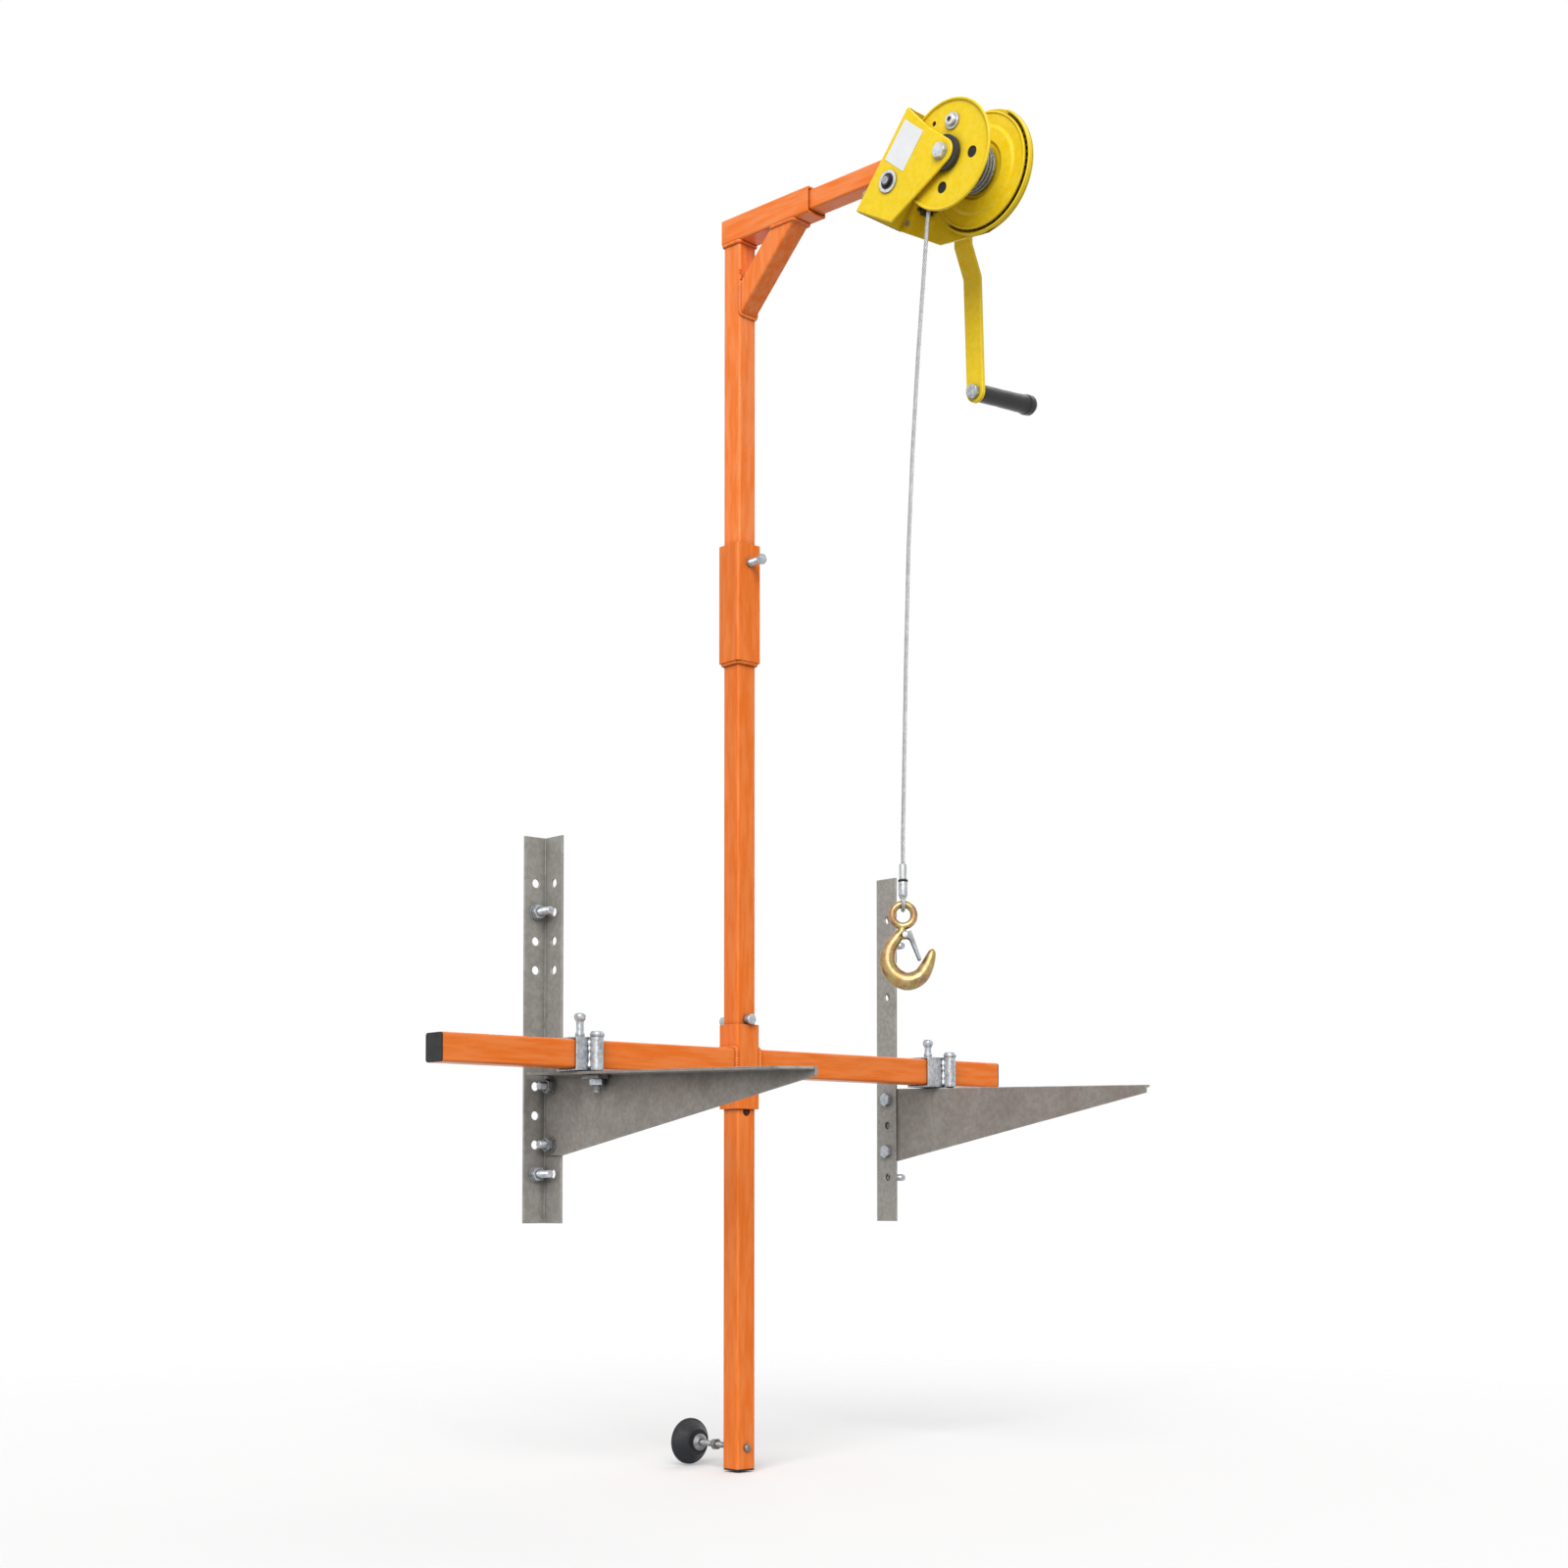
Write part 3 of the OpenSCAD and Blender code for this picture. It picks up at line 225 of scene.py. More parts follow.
def rounded(points, radius, steps=3, closed=True):
    """Outline with each corner P turned into a curve (1-s)^2 A + 2s(1-s) P + s^2 B."""
    p = np.asarray(points, float)
    to_a, to_b = np.roll(p, 1, 0) - p, np.roll(p, -1, 0) - p
    long_a = np.linalg.norm(to_a, axis=1)
    long_b = np.linalg.norm(to_b, axis=1)
    ua, ub = to_a / long_a[:, None], to_b / long_b[:, None]
    half = 0.5 * np.arccos(np.clip((ua * ub).sum(1), -1, 1))
    most = 0.48 * np.minimum(long_a, long_b)
    cut = np.minimum(np.broadcast_to(radius, half.shape) / np.tan(half), most)
    if not closed:
        cut = cut.copy()
        cut[0] = cut[-1] = 0
    s = np.linspace(0, 1, steps + 1)[None, :, None]
    a, b, mid = p + ua * cut[:, None], p + ub * cut[:, None], p[:, None]
    out = (1 - s) ** 2 * a[:, None] + 2 * s * (1 - s) * mid + s**2 * b[:, None]
    return out.reshape(-1, p.shape[1])


def round_angles(count):
    """Evenly spaced angles of a full turn."""
    return np.linspace(0, 2 * np.pi, count, endpoint=False)


def at_height(outline, height):
    """Points of a flat outline, all at one height."""
    return np.c_[outline, np.full(len(outline), height)]


def turned(profile, sides=64, closed=False):
    """Profile of (radius, height) turned about z: (r cos a, r sin a, h)."""
    p = np.asarray(profile, float)
    a = round_angles(sides)
    height = np.broadcast_to(p[:, 1:], (len(p), sides))
    grid = np.stack([p[:, :1] * np.cos(a), p[:, :1] * np.sin(a), height], -1)
    return surface(grid, wrap_rows=closed)


def capped(line, radii, steps=4, sides=48):
    """Profile that starts and ends on the axis, its corners rounded, turned about z."""
    return turned(rounded(line, radii, steps, closed=False), sides)


def disc(radius, low, high, edge=0.4, hole=0.0, sides=48):
    """Round plate, washer or rod with its edges rounded."""
    if hole:
        loop = [[hole, low], [radius, low], [radius, high], [hole, high]]
        return turned(rounded(loop, edge, 2), sides, closed=True)
    line = [[0, low], [radius, low], [radius, high], [0, high]]
    return capped(line, edge, 2, sides)


def drill(radius, low, high):
    """Cutter for a round hole, its edges all but sharp."""
    return disc(radius, low, high, 0.01)


def square_outline(half, radius, steps=5):
    """Rounded square: corner centre plus radius times (cos, sin), a quarter turn a corner."""
    radius = max(radius, 0.3)
    a = np.radians(np.linspace(0, 90, steps + 1)[None, :] + 90 * np.arange(4)[:, None])
    centre = (half - radius) * np.array([[1, 1], [-1, 1], [-1, -1], [1, -1]])
    ring = centre[:, None] + radius * np.stack([np.cos(a), np.sin(a)], -1)
    return ring.reshape(-1, 2)


def square_tube(width, wall, low, high, corner, rim, cut_low=0.0, cut_high=0.0):
    """Square tube: its wall's section, inset d and height z, carried round a rounded square.
    A cut leans its end: z grows with the local y times the slope."""
    section = rounded([[0, low], [0, high], [wall, high], [wall, low]], rim, 2)
    rings = np.stack([square_outline(width / 2 - d, corner - d) for d, _ in section])
    z = np.broadcast_to(section[:, 1:], rings.shape[:2]).copy()
    at_low = (section[:, 1] < (low + high) / 2)[:, None]
    z += np.where(at_low, cut_low, cut_high) * rings[..., 1]
    return surface(np.concatenate([rings, z[..., None]], -1), wrap_rows=True)


def slab(outline, low, high, edge=0.5):
    """Plate of any outline: each point moves inwards by the edge's inset at the two faces."""
    p = np.asarray(outline, float)
    along = np.roll(p, -1, 0) - np.roll(p, 1, 0)
    along /= np.linalg.norm(along, axis=1)[:, None]
    inward = np.stack([-along[:, 1], along[:, 0]], -1)
    area = (p[:, 0] * np.roll(p[:, 1], -1) - np.roll(p[:, 0], -1) * p[:, 1]).sum()
    inward *= np.sign(area)
    levels = ((edge, low), (0.3 * edge, low + 0.3 * edge), (0, low + edge))
    levels += ((0, high - edge), (0.3 * edge, high - 0.3 * edge), (edge, high))
    rings = np.stack([at_height(p + inward * d, z) for d, z in levels])
    points, faces = surface(rings)
    n = len(p)
    return points, faces + [list(range(n))[::-1], list(range(5 * n, 6 * n))]


ANGLES = round_angles(48)


def hex_radius(flats):
    """Distance from a hexagon's centre to its side at each of the angles: half the flats / cos."""
    return flats / 2 / np.cos(np.mod(ANGLES, np.pi / 3) - np.pi / 6)


def lathed(rows, closed=False):
    """Shell from rows of radius and height, either of them one number or one for each angle."""
    across, up = np.cos(ANGLES), np.sin(ANGLES)
    grid = np.stack([np.stack([r * across, r * up, z + 0 * ANGLES], -1) for r, z in rows])
    return surface(grid, wrap_rows=closed)


def hexagon(flats, low, high, hole=0.0, chamfer_low=False, chamfer_high=True):
    """Bolt head or nut: a hexagon cut by a 30 degree cone at its free faces."""
    side = hex_radius(flats)
    flat = 0.47 * flats
    drop = (side - flat) * math.tan(math.radians(30))
    rows = [(flat, low), (side, low + drop)] if chamfer_low else [(side, low)]
    rows += [(side, high - drop), (flat, high)] if chamfer_high else [(side, high)]
    if not hole:
        return lathed([(0, low), *rows, (0, high)])
    sink = 0.7
    below = [(hole, low + sink), (hole + sink, low)]
    above = [(hole + sink, high), (hole, high - sink)]
    return lathed(below + rows + above, closed=True)


def bolt_head(flats, low, high):
    """Hexagon head whose free face is the low one."""
    return hexagon(flats, low, high, chamfer_low=True, chamfer_high=False)


def hex_nut(flats, low, high, hole):
    """Nut with both faces chamfered."""
    return hexagon(flats, low, high, hole, chamfer_low=True)


def thread(diameter, low, high, pitch=1.5, sides=24):
    """Screw thread: radius less a triangle wave of (z / pitch - angle / full turn)."""
    rows = int((high - low) / pitch * 6) + 1
    z = np.linspace(low, high, rows)[:, None]
    a = round_angles(sides)[None, :]
    depth = 0.55 * pitch
    wave = np.abs(2 * np.mod(z / pitch - a / (2 * np.pi), 1) - 1)
    r = diameter / 2 - depth * (1 - wave)
    r = np.minimum(r, diameter / 2 - depth + np.minimum(z - low, high - z) + 0.1)
    grid = np.stack([r * np.cos(a), r * np.sin(a), z + 0 * a], -1)
    ends = grid[[0, -1]].copy()
    ends[..., :2] = 0
    return surface(np.concatenate([ends[:1], grid, ends[1:]]))


def path_frames(path, side, closed=False):
    """Two directions square to a path: the side less its part along the tangent, and their cross."""
    ahead = np.roll(path, -1, 0) - np.roll(path, 1, 0) if closed else np.gradient(path, axis=0)
    ahead /= np.linalg.norm(ahead, axis=1)[:, None]
    a = np.asarray(side, float) - ahead * (ahead @ np.asarray(side, float))[:, None]
    a /= np.linalg.norm(a, axis=1)[:, None]
    return a, np.cross(ahead, a)


def swept(path, radius, side, sides=12, closed=False):
    """Round bar along a path: point + r (cos q A + sin q B)."""
    path = np.asarray(path, float)
    a, b = path_frames(path, side, closed)
    q = round_angles(sides)
    r = np.broadcast_to(radius, (len(path),))[:, None, None]
    ring = a[:, None] * np.cos(q)[None, :, None] + b[:, None] * np.sin(q)[None, :, None]
    grid = path[:, None] + r * ring
    if not closed:
        first = np.broadcast_to(path[:1, None], (1, sides, 3))
        last = np.broadcast_to(path[-1:, None], (1, sides, 3))
        grid = np.concatenate([first, grid, last])
    return surface(grid, wrap_rows=closed)


def evenly(path, step):
    """Points along a polyline at an even step."""
    path = np.asarray(path, float)
    run = np.r_[0, np.cumsum(np.linalg.norm(np.diff(path, axis=0), axis=1))]
    at = np.linspace(0, run[-1], max(3, int(run[-1] / step) + 1))
    return np.stack([np.interp(at, run, path[:, k]) for k in range(path.shape[1])], 1)


def bead(path, radius, seed, side, closed=False, pitch=2.6, rough=0.1):
    """Weld bead: a round bar whose radius ripples like laid coins, radius (1 + a |sin| + noise)."""
    path = np.asarray(path, float)
    if closed:
        path = np.concatenate([path, path[:1]])
    path = evenly(path, BEAD_STEP)
    if closed:
        path = path[:-1]
    n = len(path)
    random = np.random.default_rng(seed)
    run = np.arange(n) * BEAD_STEP
    knots = np.arange(0, run[-1] + 12, 6.0)
    slow = np.interp(run, knots, random.uniform(-1, 1, len(knots)))
    ripple = np.abs(np.sin(np.pi * run / pitch + 0.8 * slow))
    r = radius * (0.86 - rough + (0.1 + rough) * ripple + rough * slow)
    if not closed:
        ends = np.minimum(run, run[-1] - run)
        r = r * np.sqrt(np.clip(ends / (1.2 * radius), 0.05, 1))
    return swept(path, r, side, 10, closed)


def stranded(path, a, b, diameter, lay, strands=6, sides=7):
    """Wire rope: strand k runs at angle 2 pi (k / strands + length / lay) about the path."""
    run = np.r_[0, np.cumsum(np.linalg.norm(np.diff(path, axis=0), axis=1))]
    phase = 2 * np.pi * (np.arange(strands)[:, None] / strands + run[None, :] / lay)
    strand_r = diameter / 6 * 1.06
    off = diameter / 2 - strand_r
    centre = path + off * (np.cos(phase)[..., None] * a + np.sin(phase)[..., None] * b)
    q = round_angles(sides)[:, None]
    ring = np.cos(q) * a[:, None, :] + np.sin(q) * b[:, None, :]
    grid = centre[:, :, None, :] + strand_r * ring[None]
    first = np.broadcast_to(centre[:, :1, None], grid[:, :1].shape)
    last = np.broadcast_to(centre[:, -1:, None], grid[:, -1:].shape)
    grid = np.concatenate([first, grid, last], 1)
    core = swept(path, diameter / 6, a[0] + 0.01, 6)
    return joined(*[surface(g) for g in grid], core)


# building and finishing of pieces
def new_mesh(name, shell):
    """Mesh in metres, doubles merged and normals facing outwards."""
    mesh = bpy.data.meshes.new(name)
    mesh.from_pydata((shell[0] * MM).tolist(), [], shell[1])
    bm = bmesh.new()
    bm.from_mesh(mesh)
    bmesh.ops.remove_doubles(bm, verts=bm.verts, dist=MERGE)
    bmesh.ops.dissolve_degenerate(bm, edges=bm.edges, dist=1e-7)
    bmesh.ops.recalc_face_normals(bm, faces=bm.faces)
    bm.to_mesh(mesh)
    bm.free()
    return mesh


def new_object(name, data):
    """A new object in the scene's own collection."""
    obj = bpy.data.objects.new(name, data)
    bpy.context.scene.collection.objects.link(obj)
    return obj


def smooth_shade(mesh, degrees):
    """Smooth faces with sharp edges past an angle."""
    mesh.polygons.foreach_set("use_smooth", np.ones(len(mesh.polygons), bool))
    mesh.set_sharp_from_angle(angle=math.radians(degrees))


def bake_modifiers(obj):
    """The object's evaluated mesh takes the place of its own."""
    bpy.context.view_layer.update()
    graph = bpy.context.evaluated_depsgraph_get()
    mesh = bpy.data.meshes.new_from_object(obj.evaluated_get(graph))
    obj.modifiers.clear()
    obj.data = mesh


def bored(obj, *cutters):
    """Cuts closed shells out of an object."""
    for cutter in cutters:
        tool = new_object("cutter", new_mesh("cutter", cutter))
        cut = obj.modifiers.new("bore", "BOOLEAN")
        cut.object = tool
        cut.operation = "DIFFERENCE"
        cut.solver = "EXACT"
        bake_modifiers(obj)
        bpy.data.objects.remove(tool)


def piece(name, shell, finish, body, nodes=(), angle=HARD_ANGLE, bores=()):
    """A new piece: its mesh, finish, the body that it rides on and the nodes that it stands for."""
    obj = new_object(name, new_mesh(name, shell))
    if bores:
        bored(obj, *bores)
    smooth_shade(obj.data, angle)
    return dressed(obj, finish, body, nodes)


def dressed(obj, finish, body, nodes=()):
    """Gives a finished object its material and body, and hides the nodes that it stands for."""
    obj.data.materials.clear()
    obj.data.materials.append(finish_material(finish))
    normals = obj.modifiers.new("face normals", "WEIGHTED_NORMAL")
    normals.keep_sharp = True
    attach(obj, body)
    if nodes:
        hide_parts(*nodes)
    return obj


def softened(node, name, finish, body, edge, long_edges=None):
    """Copy of a node with its triangles merged and each sharp edge rounded. long_edges takes an
    edge's middle and direction in millimetres, in the shared frame, and gives its own radius."""
    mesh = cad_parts[node].data.copy()
    bm = bmesh.new()
    bm.from_mesh(mesh)
    bmesh.ops.remove_doubles(bm, verts=bm.verts, dist=MERGE)
    bmesh.ops.dissolve_limit(bm, angle_limit=math.radians(0.6), verts=bm.verts, edges=bm.edges)
    bmesh.ops.recalc_face_normals(bm, faces=bm.faces)
    weight = bm.edges.layers.float.new("bevel_weight_edge")
    most = edge
    radii = {}
    for e in bm.edges:
        if e.is_manifold and e.calc_face_angle(0) > math.radians(25):
            own = None
            if long_edges:
                a, b = (np.array(v.co) / MM for v in e.verts)
                own = long_edges((a + b) / 2, b - a)
            radii[e] = own or edge
            most = max(most, radii[e])
    for e, r in radii.items():
        e[weight] = r / most
    bm.to_mesh(mesh)
    bm.free()
    obj = new_object(name, mesh)
    bevel = obj.modifiers.new("edges", "BEVEL")
    bevel.width = most * MM
    bevel.segments = 3
    bevel.limit_method = "WEIGHT"
    bevel.use_clamp_overlap = False
    smooth_shade(mesh, HARD_ANGLE)
    return dressed(obj, finish, body, (node,))


# shader helpers
def add(tree, kind, values=None, **settings):
    """A node with its settings and its inputs' values."""
    node = tree.nodes.new(kind)
    for key, value in settings.items():
        setattr(node, key, value)
    for key, value in (values or {}).items():
        node.inputs[key].default_value = value
    return node


def wire(tree, *links):
    """Links between nodes, each given as node, output, node and input."""
    for start, outlet, end, inlet in links:
        tree.links.new(start.outputs[outlet], end.inputs[inlet])


def group(name, inputs, outputs):
    """An empty shader group with named float or vector sockets."""
    tree = bpy.data.node_groups.new(name, "ShaderNodeTree")
    for label, kind, value in inputs:
        socket = tree.interface.new_socket(label, in_out="INPUT", socket_type=kind)
        socket.default_value = value
    for label, kind in outputs:
        tree.interface.new_socket(label, in_out="OUTPUT", socket_type=kind)
    return tree, tree.nodes.new("NodeGroupInput"), tree.nodes.new("NodeGroupOutput")


FLOAT, VECTOR = "NodeSocketFloat", "NodeSocketVector"


def grain_group():
    """Patchy value from 0 to 1: noise on stretched object coordinates, spread by a contrast."""
    if "Surface Grain" in bpy.data.node_groups:
        return bpy.data.node_groups["Surface Grain"]
    tree, inside, outside = group(
        "Surface Grain",
        [
            ("Scale", FLOAT, 40.0), ("Stretch", VECTOR, (1, 1, 1)), ("Detail", FLOAT, 4.0),
            ("Contrast", FLOAT, 2.0),
        ],
        [("Value", FLOAT)],
    )
    place = add(tree, "ShaderNodeTexCoord")
    stretch = add(tree, "ShaderNodeVectorMath", operation="MULTIPLY")
    noise = add(tree, "ShaderNodeTexNoise", {"Roughness": 0.6})
    spread = add(tree, "ShaderNodeMath", {1: 0.5}, operation="SUBTRACT")
    gain = add(tree, "ShaderNodeMath", {2: 0.5}, operation="MULTIPLY_ADD", use_clamp=True)
    wire(
        tree, (place, "Object", stretch, 0), (inside, "Stretch", stretch, 1),
        (stretch, 0, noise, "Vector"), (inside, "Scale", noise, "Scale"),
        (inside, "Detail", noise, "Detail"), (noise, "Fac", spread, 0), (spread, 0, gain, 0),
        (inside, "Contrast", gain, 1), (gain, 0, outside, "Value"),
    )
    return tree


def wear_and_highlight_group():
    """Mask along edges, for rubbed edges and for a painted highlight where a finish makes its edges lighter:
    one less the dot of the rounded and the true normal, broken up by noise.
    """
    if "Edge Wear" in bpy.data.node_groups:
        return bpy.data.node_groups["Edge Wear"]
    tree, inside, outside = group(
        "Edge Wear",
        [("Radius", FLOAT, 0.0015), ("Breakup", FLOAT, 60.0), ("Amount", FLOAT, 0.5)],
        [("Mask", FLOAT)],
    )
    bevel = add(tree, "ShaderNodeBevel", samples=4)
    geometry = add(tree, "ShaderNodeNewGeometry")
    dot = add(tree, "ShaderNodeVectorMath", operation="DOT_PRODUCT")
    edge = add(tree, "ShaderNodeMath", {0: 1.0}, operation="SUBTRACT")
    gain = add(tree, "ShaderNodeMath", {1: 9.0}, operation="MULTIPLY", use_clamp=True)
    grain = add(tree, "ShaderNodeGroup", node_tree=grain_group())
    grain.inputs["Contrast"].default_value = 5.0
    broken = add(tree, "ShaderNodeMath", operation="MULTIPLY")
    out = add(tree, "ShaderNodeMath", operation="MULTIPLY", use_clamp=True)
    wire(
        tree, (inside, "Radius", bevel, "Radius"), (bevel, "Normal", dot, 0),
        (geometry, "Normal", dot, 1), (dot, "Value", edge, 1), (edge, 0, gain, 0),
        (inside, "Breakup", grain, "Scale"), (gain, 0, broken, 0), (grain, "Value", broken, 1),
        (broken, 0, out, 0), (inside, "Amount", out, 1), (out, 0, outside, "Mask"),
    )
    return tree


def dust_group():
    """Mask of settled dust: the upward part of the normal times noise."""
    if "Settled Dust" in bpy.data.node_groups:
        return bpy.data.node_groups["Settled Dust"]
    inputs = [("Scale", FLOAT, 90.0), ("Amount", FLOAT, 0.2)]
    tree, inside, outside = group("Settled Dust", inputs, [("Mask", FLOAT)])
    geometry = add(tree, "ShaderNodeNewGeometry")
    up = add(tree, "ShaderNodeSeparateXYZ")
    lift = add(tree, "ShaderNodeMath", {1: 0.15}, operation="ADD", use_clamp=True)
    grain = add(tree, "ShaderNodeGroup", node_tree=grain_group())
    grain.inputs["Contrast"].default_value = 3.0
    both = add(tree, "ShaderNodeMath", operation="MULTIPLY")
    out = add(tree, "ShaderNodeMath", operation="MULTIPLY", use_clamp=True)
    wire(
        tree, (geometry, "Normal", up, 0), (up, "Z", lift, 0), (inside, "Scale", grain, "Scale"),
        (lift, 0, both, 0), (grain, "Value", both, 1), (both, 0, out, 0), (inside, "Amount", out, 1),
        (out, 0, outside, "Mask"),
    )
    return tree


def painted_shade_group():
    """Mask of painted shade in corners and gaps: the share of the nearby half space that is covered, times a
    gain.
    """
    if "Crevice" in bpy.data.node_groups:
        return bpy.data.node_groups["Crevice"]
    inputs = [("Distance", FLOAT, 0.01), ("Amount", FLOAT, 1.0)]
    tree, inside, outside = group("Crevice", inputs, [("Mask", FLOAT)])
    open_sky = add(tree, "ShaderNodeAmbientOcclusion", samples=4)
    covered = add(tree, "ShaderNodeMath", {0: 0.9}, operation="SUBTRACT", use_clamp=True)
    out = add(tree, "ShaderNodeMath", operation="MULTIPLY", use_clamp=True)
    wire(
        tree, (inside, "Distance", open_sky, "Distance"), (open_sky, "AO", covered, 1),
        (covered, 0, out, 0), (inside, "Amount", out, 1), (out, 0, outside, "Mask"),
    )
    return tree


class Finish:
    """A material being built: its colour so far, and its roughness and height chains."""

    def __init__(self, name, colour, rough, metallic=0.0, specular=0.5):
        """Starts a material of one colour and roughness."""
        self.material = bpy.data.materials.new(name)
        self.material.use_nodes = True
        self.tree = self.material.node_tree
        self.tree.nodes.clear()
        self.shader = add(self.tree, "ShaderNodeBsdfPrincipled")
        out = add(self.tree, "ShaderNodeOutputMaterial")
        self.tree.links.new(self.shader.outputs[0], out.inputs["Surface"])
        self.shader.inputs["Metallic"].default_value = metallic
        self.shader.inputs["Specular IOR Level"].default_value = specular
        self.shader.inputs["Roughness"].default_value = rough
        self.rough = rough
        self.colour = add(self.tree, "ShaderNodeRGB").outputs[0]
        self.colour.default_value = (*colour, 1)
        self.bump = None

    def mask(self, tree_group, socket, **values):
        """A mask from one of the shared groups."""
        node = add(self.tree, "ShaderNodeGroup", node_tree=tree_group)
        for key, value in values.items():
            node.inputs[key.title()].default_value = value
        return node.outputs[socket]

    def grain(self, scale, contrast=2.0, stretch=(1, 1, 1), detail=4.0):
        """Patchy noise, finer with the scale and harder with the contrast."""
        values = {"scale": scale, "contrast": contrast, "stretch": stretch, "detail": detail}
        return self.mask(grain_group(), "Value", **values)

    def wear(self, radius, breakup, amount):
        """Rubbed edges, and a painted highlight along edges where the tint is lighter."""
        return self.mask(wear_and_highlight_group(), "Mask", radius=radius, breakup=breakup, amount=amount)

    def dust(self, scale, amount):
        """Dust on faces that look up."""
        return self.mask(dust_group(), "Mask", scale=scale, amount=amount)

    def crevice(self, distance, amount):
        """Painted shade in corners and gaps."""
        return self.mask(painted_shade_group(), "Mask", distance=distance, amount=amount)

    def tint(self, mask, colour, strength=1.0):
        """Mixes a colour in where the mask is."""
        factor = add(self.tree, "ShaderNodeMath", {1: strength}, operation="MULTIPLY", use_clamp=True)
        mix = add(self.tree, "ShaderNodeMix", data_type="RGBA")
        self.tree.links.new(mask, factor.inputs[0])
        self.tree.links.new(factor.outputs[0], mix.inputs["Factor"])
        self.tree.links.new(self.colour, mix.inputs["A"])
        mix.inputs["B"].default_value = (*colour, 1)
        self.colour = mix.outputs["Result"]
        return self

    def roughen(self, mask, low, high):
        """Roughness from low to high over the mask."""
        spread = add(self.tree, "ShaderNodeMapRange", {"To Min": low, "To Max": high})
        self.tree.links.new(mask, spread.inputs["Value"])
        self.tree.links.new(spread.outputs["Result"], self.shader.inputs["Roughness"])
        return self

    def raise_by(self, mask, distance, strength=0.5):
        """Bump from a mask, added to the bumps before it."""
        bump = add(self.tree, "ShaderNodeBump", {"Strength": strength, "Distance": distance})
        self.tree.links.new(mask, bump.inputs["Height"])
        if self.bump:
            self.tree.links.new(self.bump, bump.inputs["Normal"])
        self.bump = bump.outputs["Normal"]
        return self

    def done(self):
        """Links the colour and the bump, and gives the material."""
        self.tree.links.new(self.colour, self.shader.inputs["Base Color"])
        if self.bump:
            self.tree.links.new(self.bump, self.shader.inputs["Normal"])
        return self.material


def shade(colour, factor):
    """A colour made darker or lighter."""
    return tuple(min(1.0, c * factor) for c in colour)


def paint_finish(name, colour, rough, edge, streak=(1, 1, 0.12)):
    """Sprayed gloss paint: slow tone change, drawn streaks whose pale ones are also a painted reflection,
    pale edges as a painted highlight, painted shade in corners, orange peel.
    """
    f = Finish(name, colour, rough, specular=0.2)
    f.tint(f.grain(9, 2.5), shade(colour, 0.86), 0.4)
    f.tint(f.grain(60, 4.0, streak), shade(colour, 0.8), 0.25)
    # pale streaks in the highlight colour: drawn marks, and a painted reflection along the tubes
    f.tint(f.grain(150, 5.0, streak), edge, 0.22)
    # edges made paler: a painted highlight
    f.tint(f.wear(0.0016, 25, 0.9), edge, 0.4)
    # darker in corners and gaps: painted shade
    f.tint(f.crevice(0.009, 1.6), shade(colour, 0.22), 0.8)
    f.tint(f.dust(70, 0.05), (0.62, 0.58, 0.52))
    f.roughen(f.grain(30, 2.0), rough - 0.07, rough + 0.12)
    f.raise_by(f.grain(420, 2.0, detail=1.0), 0.0002, 0.25)
    return f.raise_by(f.grain(60, 2.0), 0.0006, 0.12).done()


def zinc_finish(name, colour, rough, stain):
    """Bright plating: cloudy tone, faint stains, bright specks that are a painted glint, paler edges that
    are a painted highlight, painted shade in corners and fine drawing marks.
    """
    f = Finish(name, colour, rough, metallic=0.6)
    f.tint(f.grain(75, 3.5), shade(colour, 0.45), 0.6)
    f.tint(f.grain(22, 4.0), stain, 0.4)
    # bright specks: a painted glint
    f.tint(f.grain(240, 6.0), shade(colour, 1.9), 0.35)
    # brighter edges: a painted highlight
    f.tint(f.wear(0.0010, 60, 0.9), shade(colour, 2.0))
    # darker in corners and gaps: painted shade
    f.tint(f.crevice(0.006, 1.8), (0.05, 0.05, 0.05), 0.85)
    f.roughen(f.grain(90, 3.0), rough - 0.08, rough + 0.18)
    return f.raise_by(f.grain(700, 2.0, detail=2.0), 0.0001, 0.3).done()


def galvanised_finish(name, colour):
    """Weathered hot-dip sheet: dull spangle, long rolling streaks, grey bloom and rust specks, with paler
    edges as a painted highlight and painted shade in corners.
    """
    f = Finish(name, colour, 0.55, metallic=0.3)
    cells = add(f.tree, "ShaderNodeTexVoronoi", {"Scale": 95.0}, feature="F1")
    place = add(f.tree, "ShaderNodeTexCoord")
    f.tree.links.new(place.outputs["Object"], cells.inputs["Vector"])
    split = add(f.tree, "ShaderNodeSeparateColor")
    f.tree.links.new(cells.outputs["Color"], split.inputs[0])
    f.tint(split.outputs[0], shade(colour, 1.2), 0.35)
    f.tint(f.grain(14, 3.5, (1, 1, 0.2)), shade(colour, 0.76), 0.55)
    f.tint(f.grain(60, 4.0, (1, 0.25, 1)), shade(colour, 0.84), 0.4)
    f.tint(f.grain(34, 6.0), (0.36, 0.36, 0.35), 0.22)
    f.tint(f.grain(150, 14.0), (0.12, 0.08, 0.055), 0.2)
    # paler edges and bends: a painted highlight
    f.tint(f.wear(0.0016, 30, 0.9), (0.60, 0.60, 0.58), 0.8)
    # darker in corners and gaps: painted shade
    f.tint(f.crevice(0.010, 1.5), shade(colour, 0.2), 0.8)
    f.roughen(f.grain(45, 3.0), 0.42, 0.72)
    f.raise_by(f.grain(260, 2.5), 0.0002, 0.35)
    return f.raise_by(f.grain(30, 2.0), 0.0008, 0.15).done()


